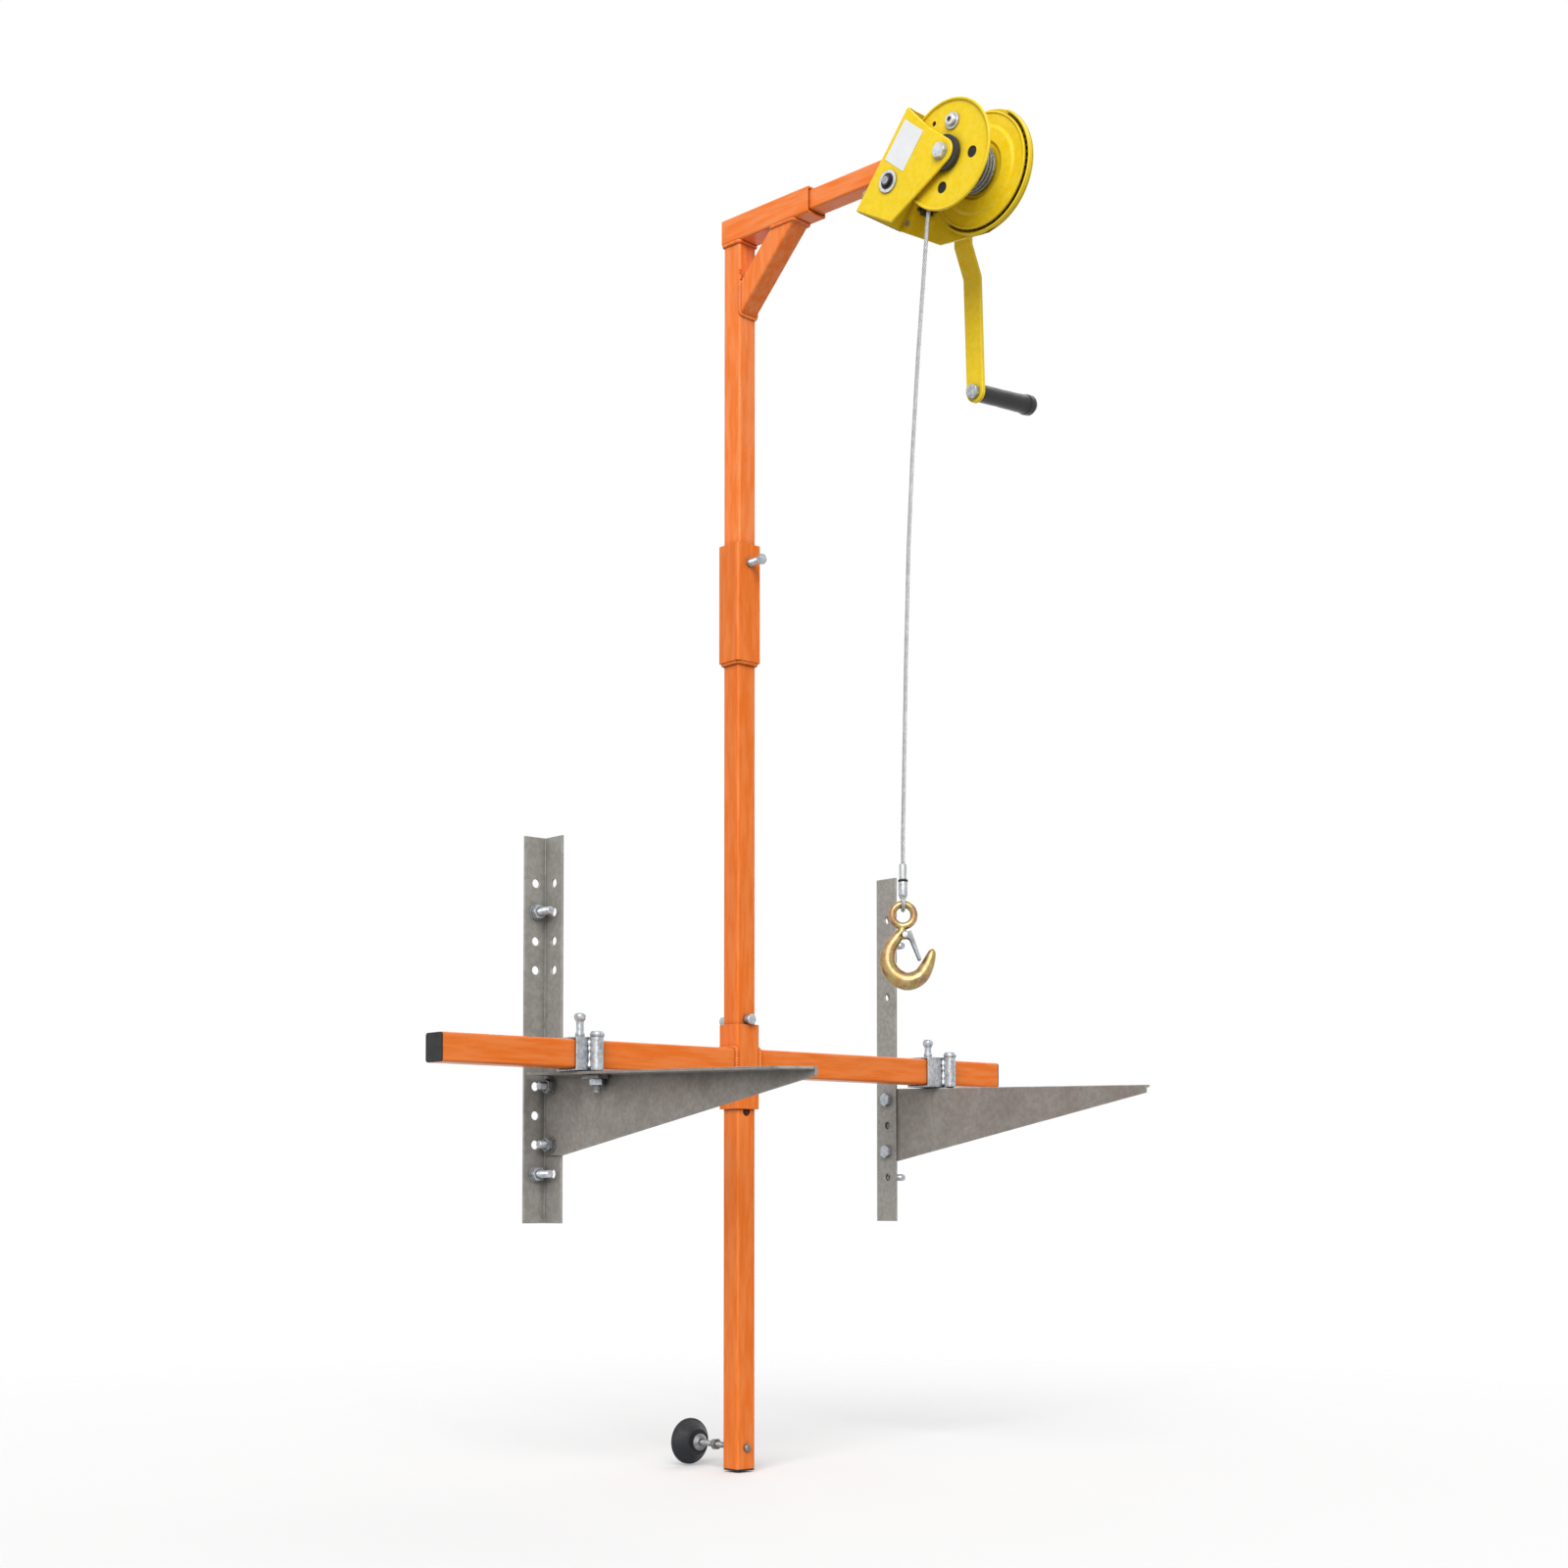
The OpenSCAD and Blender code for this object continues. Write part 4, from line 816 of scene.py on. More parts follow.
def gold_finish(name, colour):
    """Yellow chromate over forged steel: gold that turns to brown, rose and green."""
    f = Finish(name, colour, 0.24, metallic=0.6)
    f.tint(f.grain(60, 5.0), (0.20, 0.085, 0.035), 0.75)
    f.tint(f.grain(38, 6.0, (1, 1, 0.6)), (0.40, 0.40, 0.08), 0.5)
    f.tint(f.grain(85, 7.0), (0.52, 0.22, 0.09), 0.45)
    f.tint(f.grain(140, 6.0), (0.72, 0.56, 0.34), 0.25)
    # dark in corners and hollows: painted shade
    f.tint(f.crevice(0.006, 1.8), (0.05, 0.03, 0.02), 0.8)
    f.roughen(f.grain(80, 3.0), 0.2, 0.42)
    return f.raise_by(f.grain(120, 2.0), 0.0003, 0.2).done()


def rope_finish(name, colour):
    """Galvanised wire strands, with painted shade in the grooves."""
    f = Finish(name, colour, 0.34, metallic=0.6)
    f.tint(f.grain(130, 4.0), shade(colour, 0.5), 0.4)
    f.tint(f.grain(600, 5.0, (1, 1, 0.3)), shade(colour, 0.4), 0.3)
    # dark in the grooves between strands: painted shade
    f.tint(f.crevice(0.003, 2.4), (0.03, 0.03, 0.03), 0.9)
    f.roughen(f.grain(200, 3.0), 0.28, 0.5)
    return f.raise_by(f.grain(900, 3.0, (1, 1, 0.25)), 0.0002, 0.5).done()


def plastic_finish(name, colour, rough, specular):
    """Moulded plastic or rubber: fine texture, faint scuffs and a little dust."""
    f = Finish(name, colour, rough, specular=specular)
    f.tint(f.grain(40, 3.0), shade(colour, 1.7), 0.5)
    f.tint(f.wear(0.0014, 90, 0.5), shade(colour, 3.0))
    f.tint(f.dust(120, 0.05), (0.30, 0.29, 0.27))
    f.roughen(f.grain(70, 3.0), rough - 0.06, rough + 0.12)
    return f.raise_by(f.grain(800, 2.0), 0.0001, 0.35).done()


def steel_finish(name, colour):
    """Oiled dark steel: machined faces with oil patches."""
    f = Finish(name, colour, 0.4, metallic=0.7)
    f.tint(f.grain(70, 3.0), shade(colour, 2.2), 0.5)
    f.tint(f.wear(0.0008, 150, 0.8), (0.34, 0.33, 0.31))
    f.roughen(f.grain(60, 4.0), 0.22, 0.5)
    return f.raise_by(f.grain(500, 2.0), 0.0001, 0.4).done()


def matte_finish(name, colour, spots):
    """Dull card, lining or sintered metal with fine spots."""
    f = Finish(name, colour, 0.7, specular=0.3)
    f.tint(f.grain(900, 6.0), spots, 0.4)
    f.tint(f.grain(50, 3.0), shade(colour, 0.86), 0.5)
    f.roughen(f.grain(80, 2.0), 0.55, 0.85)
    return f.raise_by(f.grain(900, 2.0), 0.0001, 0.3).done()


# paler colours for the paints' edges and pale streaks: a painted highlight
PALE_EDGE_HIGHLIGHT, PALER_EDGE_HIGHLIGHT = (0.98, 0.40, 0.15), (1.0, 0.50, 0.26)
ALONG_BAR = (0.1, 0.1, 1)
# each finish: maker, record slot, colour or its setting's name, factor on it, rest for the maker
FINISHES = {
    # for the paints, the colour after the roughness is the painted highlight of edges and pale streaks
    "orange": (paint_finish, "orange_paint", "orange", 1, 0.3, PALE_EDGE_HIGHLIGHT),
    "orange_bar": (paint_finish, "orange_paint", "orange", 1, 0.3, PALE_EDGE_HIGHLIGHT, ALONG_BAR),
    # the upper arm's finishes: the orange made lighter, with paler edges, as a painted sheen and highlight
    "orange_boom": (paint_finish, "orange_paint", "upper", 1, 0.26, PALER_EDGE_HIGHLIGHT, ALONG_BAR),
    "orange_post": (paint_finish, "orange_paint", "upper", 1, 0.26, PALER_EDGE_HIGHLIGHT),
    "yellow": (paint_finish, "winch_yellow", "yellow", 1, 0.24, (0.98, 0.84, 0.12), (1, 1, 1)),
    "zinc": (zinc_finish, "zinc", "zinc", 1, 0.3, (0.34, 0.40, 0.46)),
    # a darker copy of the zinc, for the latch, clamp jaws and foot
    "worn_zinc": (zinc_finish, "zinc", "zinc", 0.5, 0.42, (0.21, 0.17, 0.13)),
    # a brighter copy of the zinc: the clamp welds' weld metal, and a painted highlight on the washer, drum
    # bolt and clamp screw
    "weld_metal": (zinc_finish, "zinc", "zinc", 1.7, 0.3, (0.62, 0.62, 0.62)),
    "dull_zinc": (zinc_finish, "galvanised", "zinc", 0.66, 0.42, (0.24, 0.21, 0.16)),
    "gold": (gold_finish, "gold_zinc", "gold", 1),
    "galvanised": (galvanised_finish, "galvanised", "galvanised", 1),
    "upright": (galvanised_finish, "galvanised", "upright", 1),
    "rope": (rope_finish, "steel_rope", "rope", 1),
    # the rope made darker for the rope wound on the drum: painted shade
    "wound": (rope_finish, "steel_rope", "rope", 0.62),
    "grip": (plastic_finish, "black_plastic", (0.009, 0.009, 0.010), 1, 0.24, 0.35),
    "cap": (plastic_finish, "cap_plastic", (0.010, 0.010, 0.011), 1, 0.5, 0.3),
    "rubber": (plastic_finish, "rubber", (0.013, 0.014, 0.017), 1, 0.6, 0.3),
    "black_steel": (steel_finish, "black_steel", (0.06, 0.055, 0.05), 1),
    "lining": (matte_finish, "friction", (0.14, 0.10, 0.07), 1, (0.32, 0.26, 0.2)),
    "label": (matte_finish, "label", (0.84, 0.85, 0.86), 1, (0.78, 0.79, 0.80)),
    "bush": (matte_finish, "bush", (0.03, 0.03, 0.034), 1, (0.10, 0.10, 0.10)),
}


def finish_material(finish):
    """The material of a finish, made once."""
    name = "hoist_" + finish
    made = bpy.data.materials.get(name)
    if not made:
        maker, _, colour, factor, *more = FINISHES[finish]
        if isinstance(colour, str):
            colour = getattr(bpy.context.scene.hoist_colours, colour)
        made = maker(name, shade(colour, factor), *more)
    return made


class HoistSizes(bpy.types.PropertyGroup):
    """Sizes of the dressing that a user may change, in millimetres."""

    tube_corner: FloatProperty(
        name="Tube Corner", description="Outside corner radius of the square tubes, in millimetres",
        default=3.4, min=1, max=6,
    )
    tube_rim: FloatProperty(
        name="Tube Rim", description="Rounding of the tubes' cut ends, in millimetres",
        default=0.5, min=0.1, max=1,
    )
    weld: FloatProperty(
        name="Weld Size", description="Radius of the weld beads, in millimetres",
        default=1.9, min=1, max=4,
    )
    thread_pitch: FloatProperty(
        name="Thread Pitch", description="Pitch of the M10 threads, in millimetres",
        default=1.5, min=0.5, max=3,
    )
    rope_lay: FloatProperty(
        name="Rope Lay", description="Length in which a rope strand goes once round, in millimetres",
        default=34, min=15, max=80,
    )
    rope_strands: IntProperty(
        name="Rope Strands", description="Number of outer strands",
        default=6, min=4, max=8,
    )
    sheet_edge: FloatProperty(
        name="Sheet Edge", description="Rounding of cut sheet metal edges, in millimetres",
        default=0.45, min=0.1, max=1,
    )
    sheet_bend: FloatProperty(
        name="Sheet Bend", description="Outside radius of bends in sheet metal, in millimetres",
        default=3.2, min=1, max=6,
    )


class HoistColours(bpy.types.PropertyGroup):
    """Main colours of the finishes."""

    orange: FloatVectorProperty(
        name="Orange", description="Paint of the tubes", subtype="COLOR",
        default=(0.80, 0.165, 0.012), min=0, max=1,
    )
    # a lighter copy of the orange, for a painted sheen on the upper arm
    upper: FloatVectorProperty(
        name="Upper Orange", description="Paint of the upper arm", subtype="COLOR",
        default=(0.91, 0.195, 0.020), min=0, max=1,
    )
    yellow: FloatVectorProperty(
        name="Yellow", description="Paint of the winch", subtype="COLOR",
        default=(0.92, 0.64, 0.006), min=0, max=1,
    )
    zinc: FloatVectorProperty(
        name="Zinc", description="Bright plated steel", subtype="COLOR",
        default=(0.42, 0.44, 0.46), min=0, max=1,
    )
    gold: FloatVectorProperty(
        name="Gold", description="Yellow chromate of the hook", subtype="COLOR",
        default=(0.265, 0.175, 0.085), min=0, max=1,
    )
    galvanised: FloatVectorProperty(
        name="Galvanised", description="Weathered level arms", subtype="COLOR",
        default=(0.270, 0.250, 0.225), min=0, max=1,
    )
    upright: FloatVectorProperty(
        name="Upright", description="Wall uprights", subtype="COLOR",
        default=(0.335, 0.325, 0.300), min=0, max=1,
    )
    rope: FloatVectorProperty(
        name="Rope", description="Wire rope", subtype="COLOR",
        default=(0.56, 0.57, 0.58), min=0, max=1,
    )


class HOIST_OT_stage(bpy.types.Operator):
    """Pale floor, white backdrop, soft light and the camera at the photograph's angle"""

    bl_idname = "hoist.stage"
    bl_label = "Stage"

    camera_at = (-1.9588, -2.3809, -0.1822)
    camera_azimuth = -41.01
    camera_pitch = 2.31
    focal_px = 2350.8
    frame_px = 1600
    axis_px = 1132.8
    sensor = 36.0
    floor_z = -0.5260
    world_level = 0.46

    def execute(self, context):
        scene = context.scene
        scene.view_settings.view_transform = "Standard"
        self.camera(scene)
        self.world(scene)
        self.floor()
        self.lamp("key_light", 2.8, 45, (-0.62, -0.60, 0.52))
        self.lamp("side_light", 0.9, 70, (0.85, 0.35, 0.45))
        return {"FINISHED"}

    def camera(self, scene):
        """Camera fitted to the photograph."""
        data = bpy.data.cameras.new("camera")
        data.sensor_width = self.sensor
        data.lens = self.focal_px / self.frame_px * self.sensor
        data.shift_y = (self.axis_px - self.frame_px / 2) / self.frame_px
        data.clip_start, data.clip_end = 0.05, 60
        camera = new_object("camera", data)
        a, e = math.radians(self.camera_azimuth), math.radians(self.camera_pitch)
        ahead = Vector((-math.sin(a) * math.cos(e), math.cos(a) * math.cos(e), math.sin(e)))
        camera.location = self.camera_at
        camera.rotation_mode = "QUATERNION"
        camera.rotation_quaternion = ahead.to_track_quat("-Z", "Y")
        scene.camera = camera

    def lamp(self, name, strength, angle, towards):
        """Sun lamp that shines from a direction, softened by its angle."""
        data = bpy.data.lights.new(name, "SUN")
        data.energy = strength
        data.angle = math.radians(angle)
        lamp = new_object(name, data)
        lamp.rotation_mode = "QUATERNION"
        lamp.rotation_quaternion = Vector(towards).to_track_quat("Z", "Y")

    def seen(self, tree):
        """One for camera, glossy and transmission rays, which see the white backdrop."""
        rays = add(tree, "ShaderNodeLightPath")
        first = add(tree, "ShaderNodeMath", operation="MAXIMUM")
        both = add(tree, "ShaderNodeMath", operation="MAXIMUM")
        wire(
            tree, (rays, "Is Camera Ray", first, 0), (rays, "Is Glossy Ray", first, 1),
            (first, 0, both, 0), (rays, "Is Transmission Ray", both, 1),
        )
        return both.outputs[0]

    def world(self, scene):
        """White backdrop with a dimmer light of its own."""
        world = bpy.data.worlds.new("studio")
        world.use_nodes = True
        tree = world.node_tree
        tree.nodes.clear()
        out = add(tree, "ShaderNodeOutputWorld")
        light = add(tree, "ShaderNodeBackground", {"Strength": self.world_level})
        white = add(tree, "ShaderNodeBackground", {"Strength": 1.0})
        light.inputs["Color"].default_value = (1, 1, 1, 1)
        white.inputs["Color"].default_value = (1, 1, 1, 1)
        mix = add(tree, "ShaderNodeMixShader")
        tree.links.new(self.seen(tree), mix.inputs[0])
        wire(tree, (light, 0, mix, 1), (white, 0, mix, 2), (mix, 0, out, "Surface"))
        scene.world = world

    def floor(self):
        """A disc that fades into the backdrop towards its rim: alpha 1 - smooth(distance)."""
        radius, sides = 6.0, 96
        a = round_angles(sides)
        points = np.c_[radius * np.cos(a), radius * np.sin(a), np.full(sides, self.floor_z)] / MM
        floor = new_object("floor", new_mesh("floor", (points, [list(range(sides))])))
        material = bpy.data.materials.new("floor")
        material.use_nodes = True
        tree = material.node_tree
        tree.nodes.clear()
        out = add(tree, "ShaderNodeOutputMaterial")
        pale = add(tree, "ShaderNodeBsdfDiffuse", {"Color": (0.93, 0.93, 0.93, 1)})
        clear = add(tree, "ShaderNodeBsdfTransparent")
        place = add(tree, "ShaderNodeTexCoord")
        length = add(tree, "ShaderNodeVectorMath", operation="LENGTH")
        limits = {"From Min": 0.9, "From Max": 2.6}
        fade = add(tree, "ShaderNodeMapRange", limits, interpolation_type="SMOOTHSTEP")
        mix = add(tree, "ShaderNodeMixShader")
        # light bounced up from the floor would take the shade off undersides
        rays = add(tree, "ShaderNodeLightPath")
        most = add(tree, "ShaderNodeMath", operation="MAXIMUM")
        wire(
            tree, (place, "Object", length, 0), (length, "Value", fade, "Value"),
            (fade, "Result", most, 0), (rays, "Is Diffuse Ray", most, 1), (most, 0, mix, 0),
            (pale, 0, mix, 1), (clear, 0, mix, 2), (mix, 0, out, "Surface"),
        )
        floor.data.materials.append(material)


class HOIST_OT_mast(bpy.types.Operator):
    """Mast tube with its sleeve, weld, cap, pin, clip and sleeve screw"""

    bl_idname = "hoist.mast"
    bl_label = "Mast"

    def execute(self, context):
        sizes = context.scene.hoist_sizes
        body = "mast_post"
        holes = [
            placed(drill(r, -30, 30), PUT @ shift(0, 0, z) @ ALONG_Y)
            for r, z in (
                (PIN_D / 2 + 0.4, PIN_Z), (PIN_D / 2 + 0.4, PIN_Z - PIN_PITCH), (FOOT_D / 2 + 0.3, FOOT_LOW),
            )
        ]
        tube = square_tube(TUBE_W, TUBE_T, MAST_LOW, MAST_TOP, sizes.tube_corner, sizes.tube_rim)
        piece("mast_tube", placed(tube, PUT), "orange", body, ("mast",), bores=holes)
        corner, rim = sizes.tube_corner + 0.8, sizes.tube_rim + 0.2
        sleeve = square_tube(SLEEVE_W, SLEEVE_T, SLEEVE_LOW, SLEEVE_TOP, corner, rim)
        screw_hole = placed(drill(BOLT_D / 2, 5, 30), PUT @ shift(0, 0, LOCK_SCREW_Z) @ AGAINST_Y)
        piece("mast_sleeve", placed(sleeve, PUT), "orange", body, bores=[screw_hole])
        around = square_outline(TUBE_W / 2 + 1.4, sizes.tube_corner + 1.4)
        path = at_height(around, SLEEVE_LOW - 1.6)
        weld = bead(path, 3.0, 3, (0, 0, 1), closed=True, pitch=4.0)
        piece("sleeve_weld", placed(weld, PUT), "orange", body, angle=SOFT_ANGLE)
        flange = slab(square_outline(TUBE_W / 2 - 0.2, sizes.tube_corner), MAST_LOW - CAP_T, MAST_LOW, 0.7)
        plug = square_outline(TUBE_W / 2 - TUBE_T - RUN_GAP, 1.2)
        plug = slab(plug, MAST_LOW - 0.5, MAST_LOW + 12, 0.7)
        piece("mast_cap_plug", placed(joined(flange, plug), PUT), "cap", body, ("mast_cap",))
        self.pin(sizes, body)
        return {"FINISHED"}

    def pin(self, sizes, body):
        """Clevis pin with its R-clip, and the screw that locks the sleeve."""
        here = PUT @ shift(0, 0, PIN_Z) @ ALONG_Y
        line = [[0, -26.4], [6.8, -26.4], [6.8, -23], [6, -23], [6, 34], [0, 34]]
        shell = capped(line, (0, 1.2, 0.5, 0.4, 1.4, 0), 3)
        piece("clevis_pin", placed(shell, here), "zinc", body, ("mast_pin",))
        bend = np.radians(np.linspace(180, 0, 13))
        line = [[0, -16], [0, 15]] + np.c_[10 + 10 * np.cos(bend), 16 + 10 * np.sin(bend)].tolist()
        lean = math.radians(18)
        line += [[20, 8], [20 - 30 * math.sin(lean), 8 - 30 * math.cos(lean)]]
        line = evenly(line, 1.2)
        path = np.c_[line[:, 0], np.zeros(len(line)), line[:, 1]]
        clip = placed(swept(path, 1.2, (0, 1, 0), 12), PUT @ shift(0, 29, PIN_Z))
        piece("r_clip", clip, "zinc", "clip", ("pin_clip",), angle=SOFT_ANGLE)
        screw = joined(
            thread(8.6, 0, 25.5, sizes.thread_pitch), disc(5.4, 4.9, 7.4, 0.8), hexagon(12, 25.5, 31.5)
        )
        here = PUT @ shift(0, -15.8, LOCK_SCREW_Z) @ AGAINST_Y
        piece("sleeve_lock_screw", placed(screw, here), "zinc", body, ("sleeve_screw",))


class HOIST_OT_crossbar(bpy.types.Operator):
    """Crossbar: socket, two square tubes, their welds and end caps"""

    bl_idname = "hoist.crossbar"
    bl_label = "Crossbar"

    def execute(self, context):
        sizes = context.scene.hoist_sizes
        body = "bar"
        corner = sizes.tube_corner + 0.4
        socket = square_tube(SOCKET_W, SOCKET_T, SOCKET_LOW, SOCKET_TOP, corner, sizes.tube_rim)
        piece("socket_tube", placed(socket, PUT), "orange", body, ("crossbar",))
        for side, end, word in ((-1, -BAR_LEFT, "left"), (1, BAR_RIGHT, "right")):
            here = PUT @ shift(side * SOCKET_W / 2, 0, 0) @ turn(1, side * 90)
            reach = end - SOCKET_W / 2
            tube = square_tube(BAR_W, BAR_T, 0.05, reach, sizes.tube_corner, sizes.tube_rim)
            piece(f"bar_tube_{word}", placed(tube, here), "orange_bar", body)
            around = square_outline(BAR_W / 2 + 0.7, sizes.tube_corner)
            path = at_height(around, 0.4)
            weld = bead(path, sizes.weld + 1.1, 11 + side, (0, 0, 1), closed=True, pitch=3.4)
            piece(f"bar_weld_{word}", placed(weld, here), "orange", body, angle=SOFT_ANGLE)
            flange = slab(square_outline(BAR_W / 2 - 0.15, 3.6), reach + 0.05, reach + CAP_T, 0.8)
            plug = slab(square_outline(BAR_W / 2 - BAR_T - RUN_GAP, 1.5), reach - 14, reach + 0.5, 0.6)
            nodes = ("bar_caps",) if side < 0 else ()
            piece(f"bar_cap_{word}", placed(joined(flange, plug), here), "cap", body, nodes)
        return {"FINISHED"}


class HOIST_OT_brackets(bpy.types.Operator):
    """Wall brackets: punched uprights, level arms, their bolts and the wall anchors"""

    bl_idname = "hoist.brackets"
    bl_label = "Wall Brackets"

    def execute(self, context):
        sizes = context.scene.hoist_sizes
        body = "wall_set"
        for word, x in (("left", LEFT_X), ("right", RIGHT_X)):
            corner = x + MAST_X

            def bend(middle, along, corner=corner):
                """Wider rounding where the upright's two legs meet."""
                upright = abs(along[2]) > 200
                at_corner = abs(middle[0] - corner) < 0.5 and abs(middle[1]) < 0.5
                return sizes.sheet_bend if upright and at_corner else None

            softened(f"{word}_upright", f"{word}_upright_angle", "upright", body, sizes.sheet_edge, bend)

            def fold(middle, along, corner=corner, word=word):
                """Wider rounding where the arm's web turns into its flange."""
                web = corner + (BRACKET_T if word == "right" else -BRACKET_T)
                top = BAR_Z + FLANGE_Z
                level = abs(along[1]) > 200
                high = middle[2] - top - (middle[1] + WALL_GAP - BOX_HALF) * DROOP_S
                at_web = abs(middle[0] - web) < 0.4 and abs(high) < 1.5
                return sizes.sheet_bend - 0.4 if level and at_web else None

            softened(f"{word}_arm", f"{word}_level_arm", "galvanised", body, sizes.sheet_edge, fold)
        bolt = joined(bolt_head(BOLT_AF, -BOLT_HEAD, 0), thread(BOLT_D, 0, 25, sizes.thread_pitch))
        nut = joined(disc(10.4, 6, 8, 0.4, BOLT_D / 2), hex_nut(BOLT_AF, 8, 15.5, BOLT_D / 2))
        low = BRACKET_T + 2
        anchor = joined(
            thread(BOLT_D, 0, ANCHOR_LEN, sizes.thread_pitch),
            disc(10, BRACKET_T, low, 0.4, BOLT_D / 2),
            hex_nut(BOLT_AF, low, low + 8, BOLT_D / 2 - 0.3),
        )
        bolts, nuts, anchors = [], [], []
        for side, x in ((-1, LEFT_X), (1, RIGHT_X)):
            for z in ARM_BOLT_Z:
                here = PUT @ shift(x, WALL_GAP - STAND_LEG / 2 - 2, z) @ turn(1, side * 90)
                bolts.append(placed(bolt, here))
                nuts.append(placed(nut, here))
            for z in ANCHOR_Z:
                here = PUT @ shift(x + side * WALL_LEG / 2, WALL_GAP, z) @ AGAINST_Y
                anchors.append(placed(anchor, here))
        piece("arm_bolt_set", joined(*bolts), "zinc", body, ("arm_bolts",))
        piece("arm_nut_set", joined(*nuts), "dull_zinc", body, ("arm_nuts",))
        piece("wall_anchor_set", joined(*anchors), "zinc", body, ("wall_anchors",))
        return {"FINISHED"}


class HOIST_OT_clamps(bpy.types.Operator):
    """Clamps that hold the crossbar on the level arms"""

    bl_idname = "hoist.clamps"
    bl_label = "Clamps"

    def execute(self, context):
        sizes = context.scene.hoist_sizes
        body = "wall_set"
        set_screws, bolts, nuts = [], [], []
        for k, (x, bolt_x, word) in enumerate(zip(CLAMP_X, CLAMP_BOLT_X, ("left", "right"))):
            softened(f"{word}_clamp", f"{word}_clamp_box", "zinc", body, 0.6)
            beads = []
            for side in (-1, 1):
                height = np.linspace(-19, 19, 20)
                path = np.c_[np.full(20, bolt_x + side * 6.4), np.full(20, -21.9), height]
                beads.append(bead(path, 2.9, 20 + 2 * k + side, (1, 0, 0), pitch=9.4, rough=0.3))
            piece(f"{word}_clamp_weld", placed(joined(*beads), PUT), "weld_metal", body, angle=SOFT_ANGLE)
            here = PUT @ shift(x, 0, BAR_W / 2 + LOOSE_GAP)
            top = SET_LEN[k] + BOLT_HEAD
            line = [
                [0, 0], [5, 0], [5.8, 5], [5.8, 8], [4.6, 10], [4.6, top - 11],
                [7, top - 7], [7.4, top - 3], [4.8, top], [0, top],
            ]
            flared = capped(line, (0, 0.3, 0.8, 0.8, 1.2, 4.0, 3.0, 3.0, 2.5, 0))
            set_screws.append(placed(flared, here))
            here = PUT @ shift(bolt_x, BOLT_Y, 0)
            peak = BOX_HALF + BOLT_HEAD
            dome = [[0, BOX_HALF], [8.4, BOX_HALF], [9.2, BOX_HALF + 3], [7.2, peak], [0, peak]]
            bolts.append(placed(capped(dome, (0, 0.8, 2.2, 2.6, 0)), here))
            bolts.append(placed(disc(BOLT_D / 2, -BOX_HALF, BOX_HALF + 0.5, 0.2), here))
            bolts.append(placed(thread(BOLT_D, JAW_LOW - 16, -BOX_HALF + 1, sizes.thread_pitch), here))
            nut = hex_nut(BOLT_AF, JAW_LOW - 8, JAW_LOW, BOLT_D / 2)
            nuts.append(placed(nut, here @ turn(2, 30)))
        piece("clamp_set_screw_pair", joined(*set_screws), "zinc", body, ("clamp_set_screws",))
        piece("clamp_bolt_pair", joined(*bolts), "zinc", body, ("clamp_bolts",))
        piece("clamp_nut_pair", joined(*nuts), "zinc", body, ("clamp_nuts",))
        outline = rounded([[-9, -JAW_FRONT], [9, -JAW_FRONT], [9, 20], [-9, 20]], 2, 3)
        jaw = slab(outline, JAW_LOW, JAW_TOP, 0.7)
        jaws = [placed(jaw, PUT @ shift(x, BOLT_Y, 0)) for x in CLAMP_BOLT_X]
        piece("clamp_jaw_pair", joined(*jaws), "worn_zinc", body, ("clamp_jaws",))
        return {"FINISHED"}


class HOIST_OT_foot(bpy.types.Operator):
    """Foot that bears on the wall: threaded rod, nut, collar and rubber pad"""

    bl_idname = "hoist.foot"
    bl_label = "Foot"

    def execute(self, context):
        here = PUT @ shift(0, 0, FOOT_LOW) @ ALONG_Y
        rod = thread(FOOT_D - 0.1, -TUBE_W / 2 - 3, WALL_GAP - 6, 1.25)
        line = [[0, -20], [3.4, -19.6], [5, -17.2], [5, -15.1], [0, -15.1]]
        dome = capped(line, (0, 1.2, 1.6, 0.4, 0), sides=40)
        low = WALL_GAP - 20 - 1.4 - 6.5
        line = [[4, low], [7, low], [11, low + 3.6], [11, low + 6.5], [4, low + 6.5]]
        collar = turned(rounded(line, 0.7, 3), 48, closed=True)
        piece("foot_rod_collar", placed(joined(rod, dome, collar), here), "worn_zinc", "foot", ("foot_rod",))
        low = TUBE_W / 2 + LOOSE_GAP + 28
        nut = hex_nut(13, low, low + 6.5, FOOT_D / 2)
        piece("foot_lock_nut", placed(nut, here), "worn_zinc", "foot", ("foot_nut",))
        line = [[0, 0], [30, 0], [30, 4.2], [27.6, 5.6], [18.5, 17], [17, 20], [8.4, 20]]
        line += [[7.2, 17.4], [0, 17.4]]
        pad = capped(line, (0, 1.2, 1.6, 1.6, 3, 1.2, 0.5, 0.5, 0), sides=72)
        here = PUT @ shift(0, WALL_GAP, FOOT_LOW) @ AGAINST_Y
        hole = placed(turned([[0, 5.2], [FOOT_D / 2 + 0.6, 5.2], [FOOT_D / 2 + 2.4, 21], [0, 21]]), here)
        piece("foot_rubber_pad", placed(pad, here), "rubber", "pad", ("foot_pad",), bores=[hole])
        return {"FINISHED"}


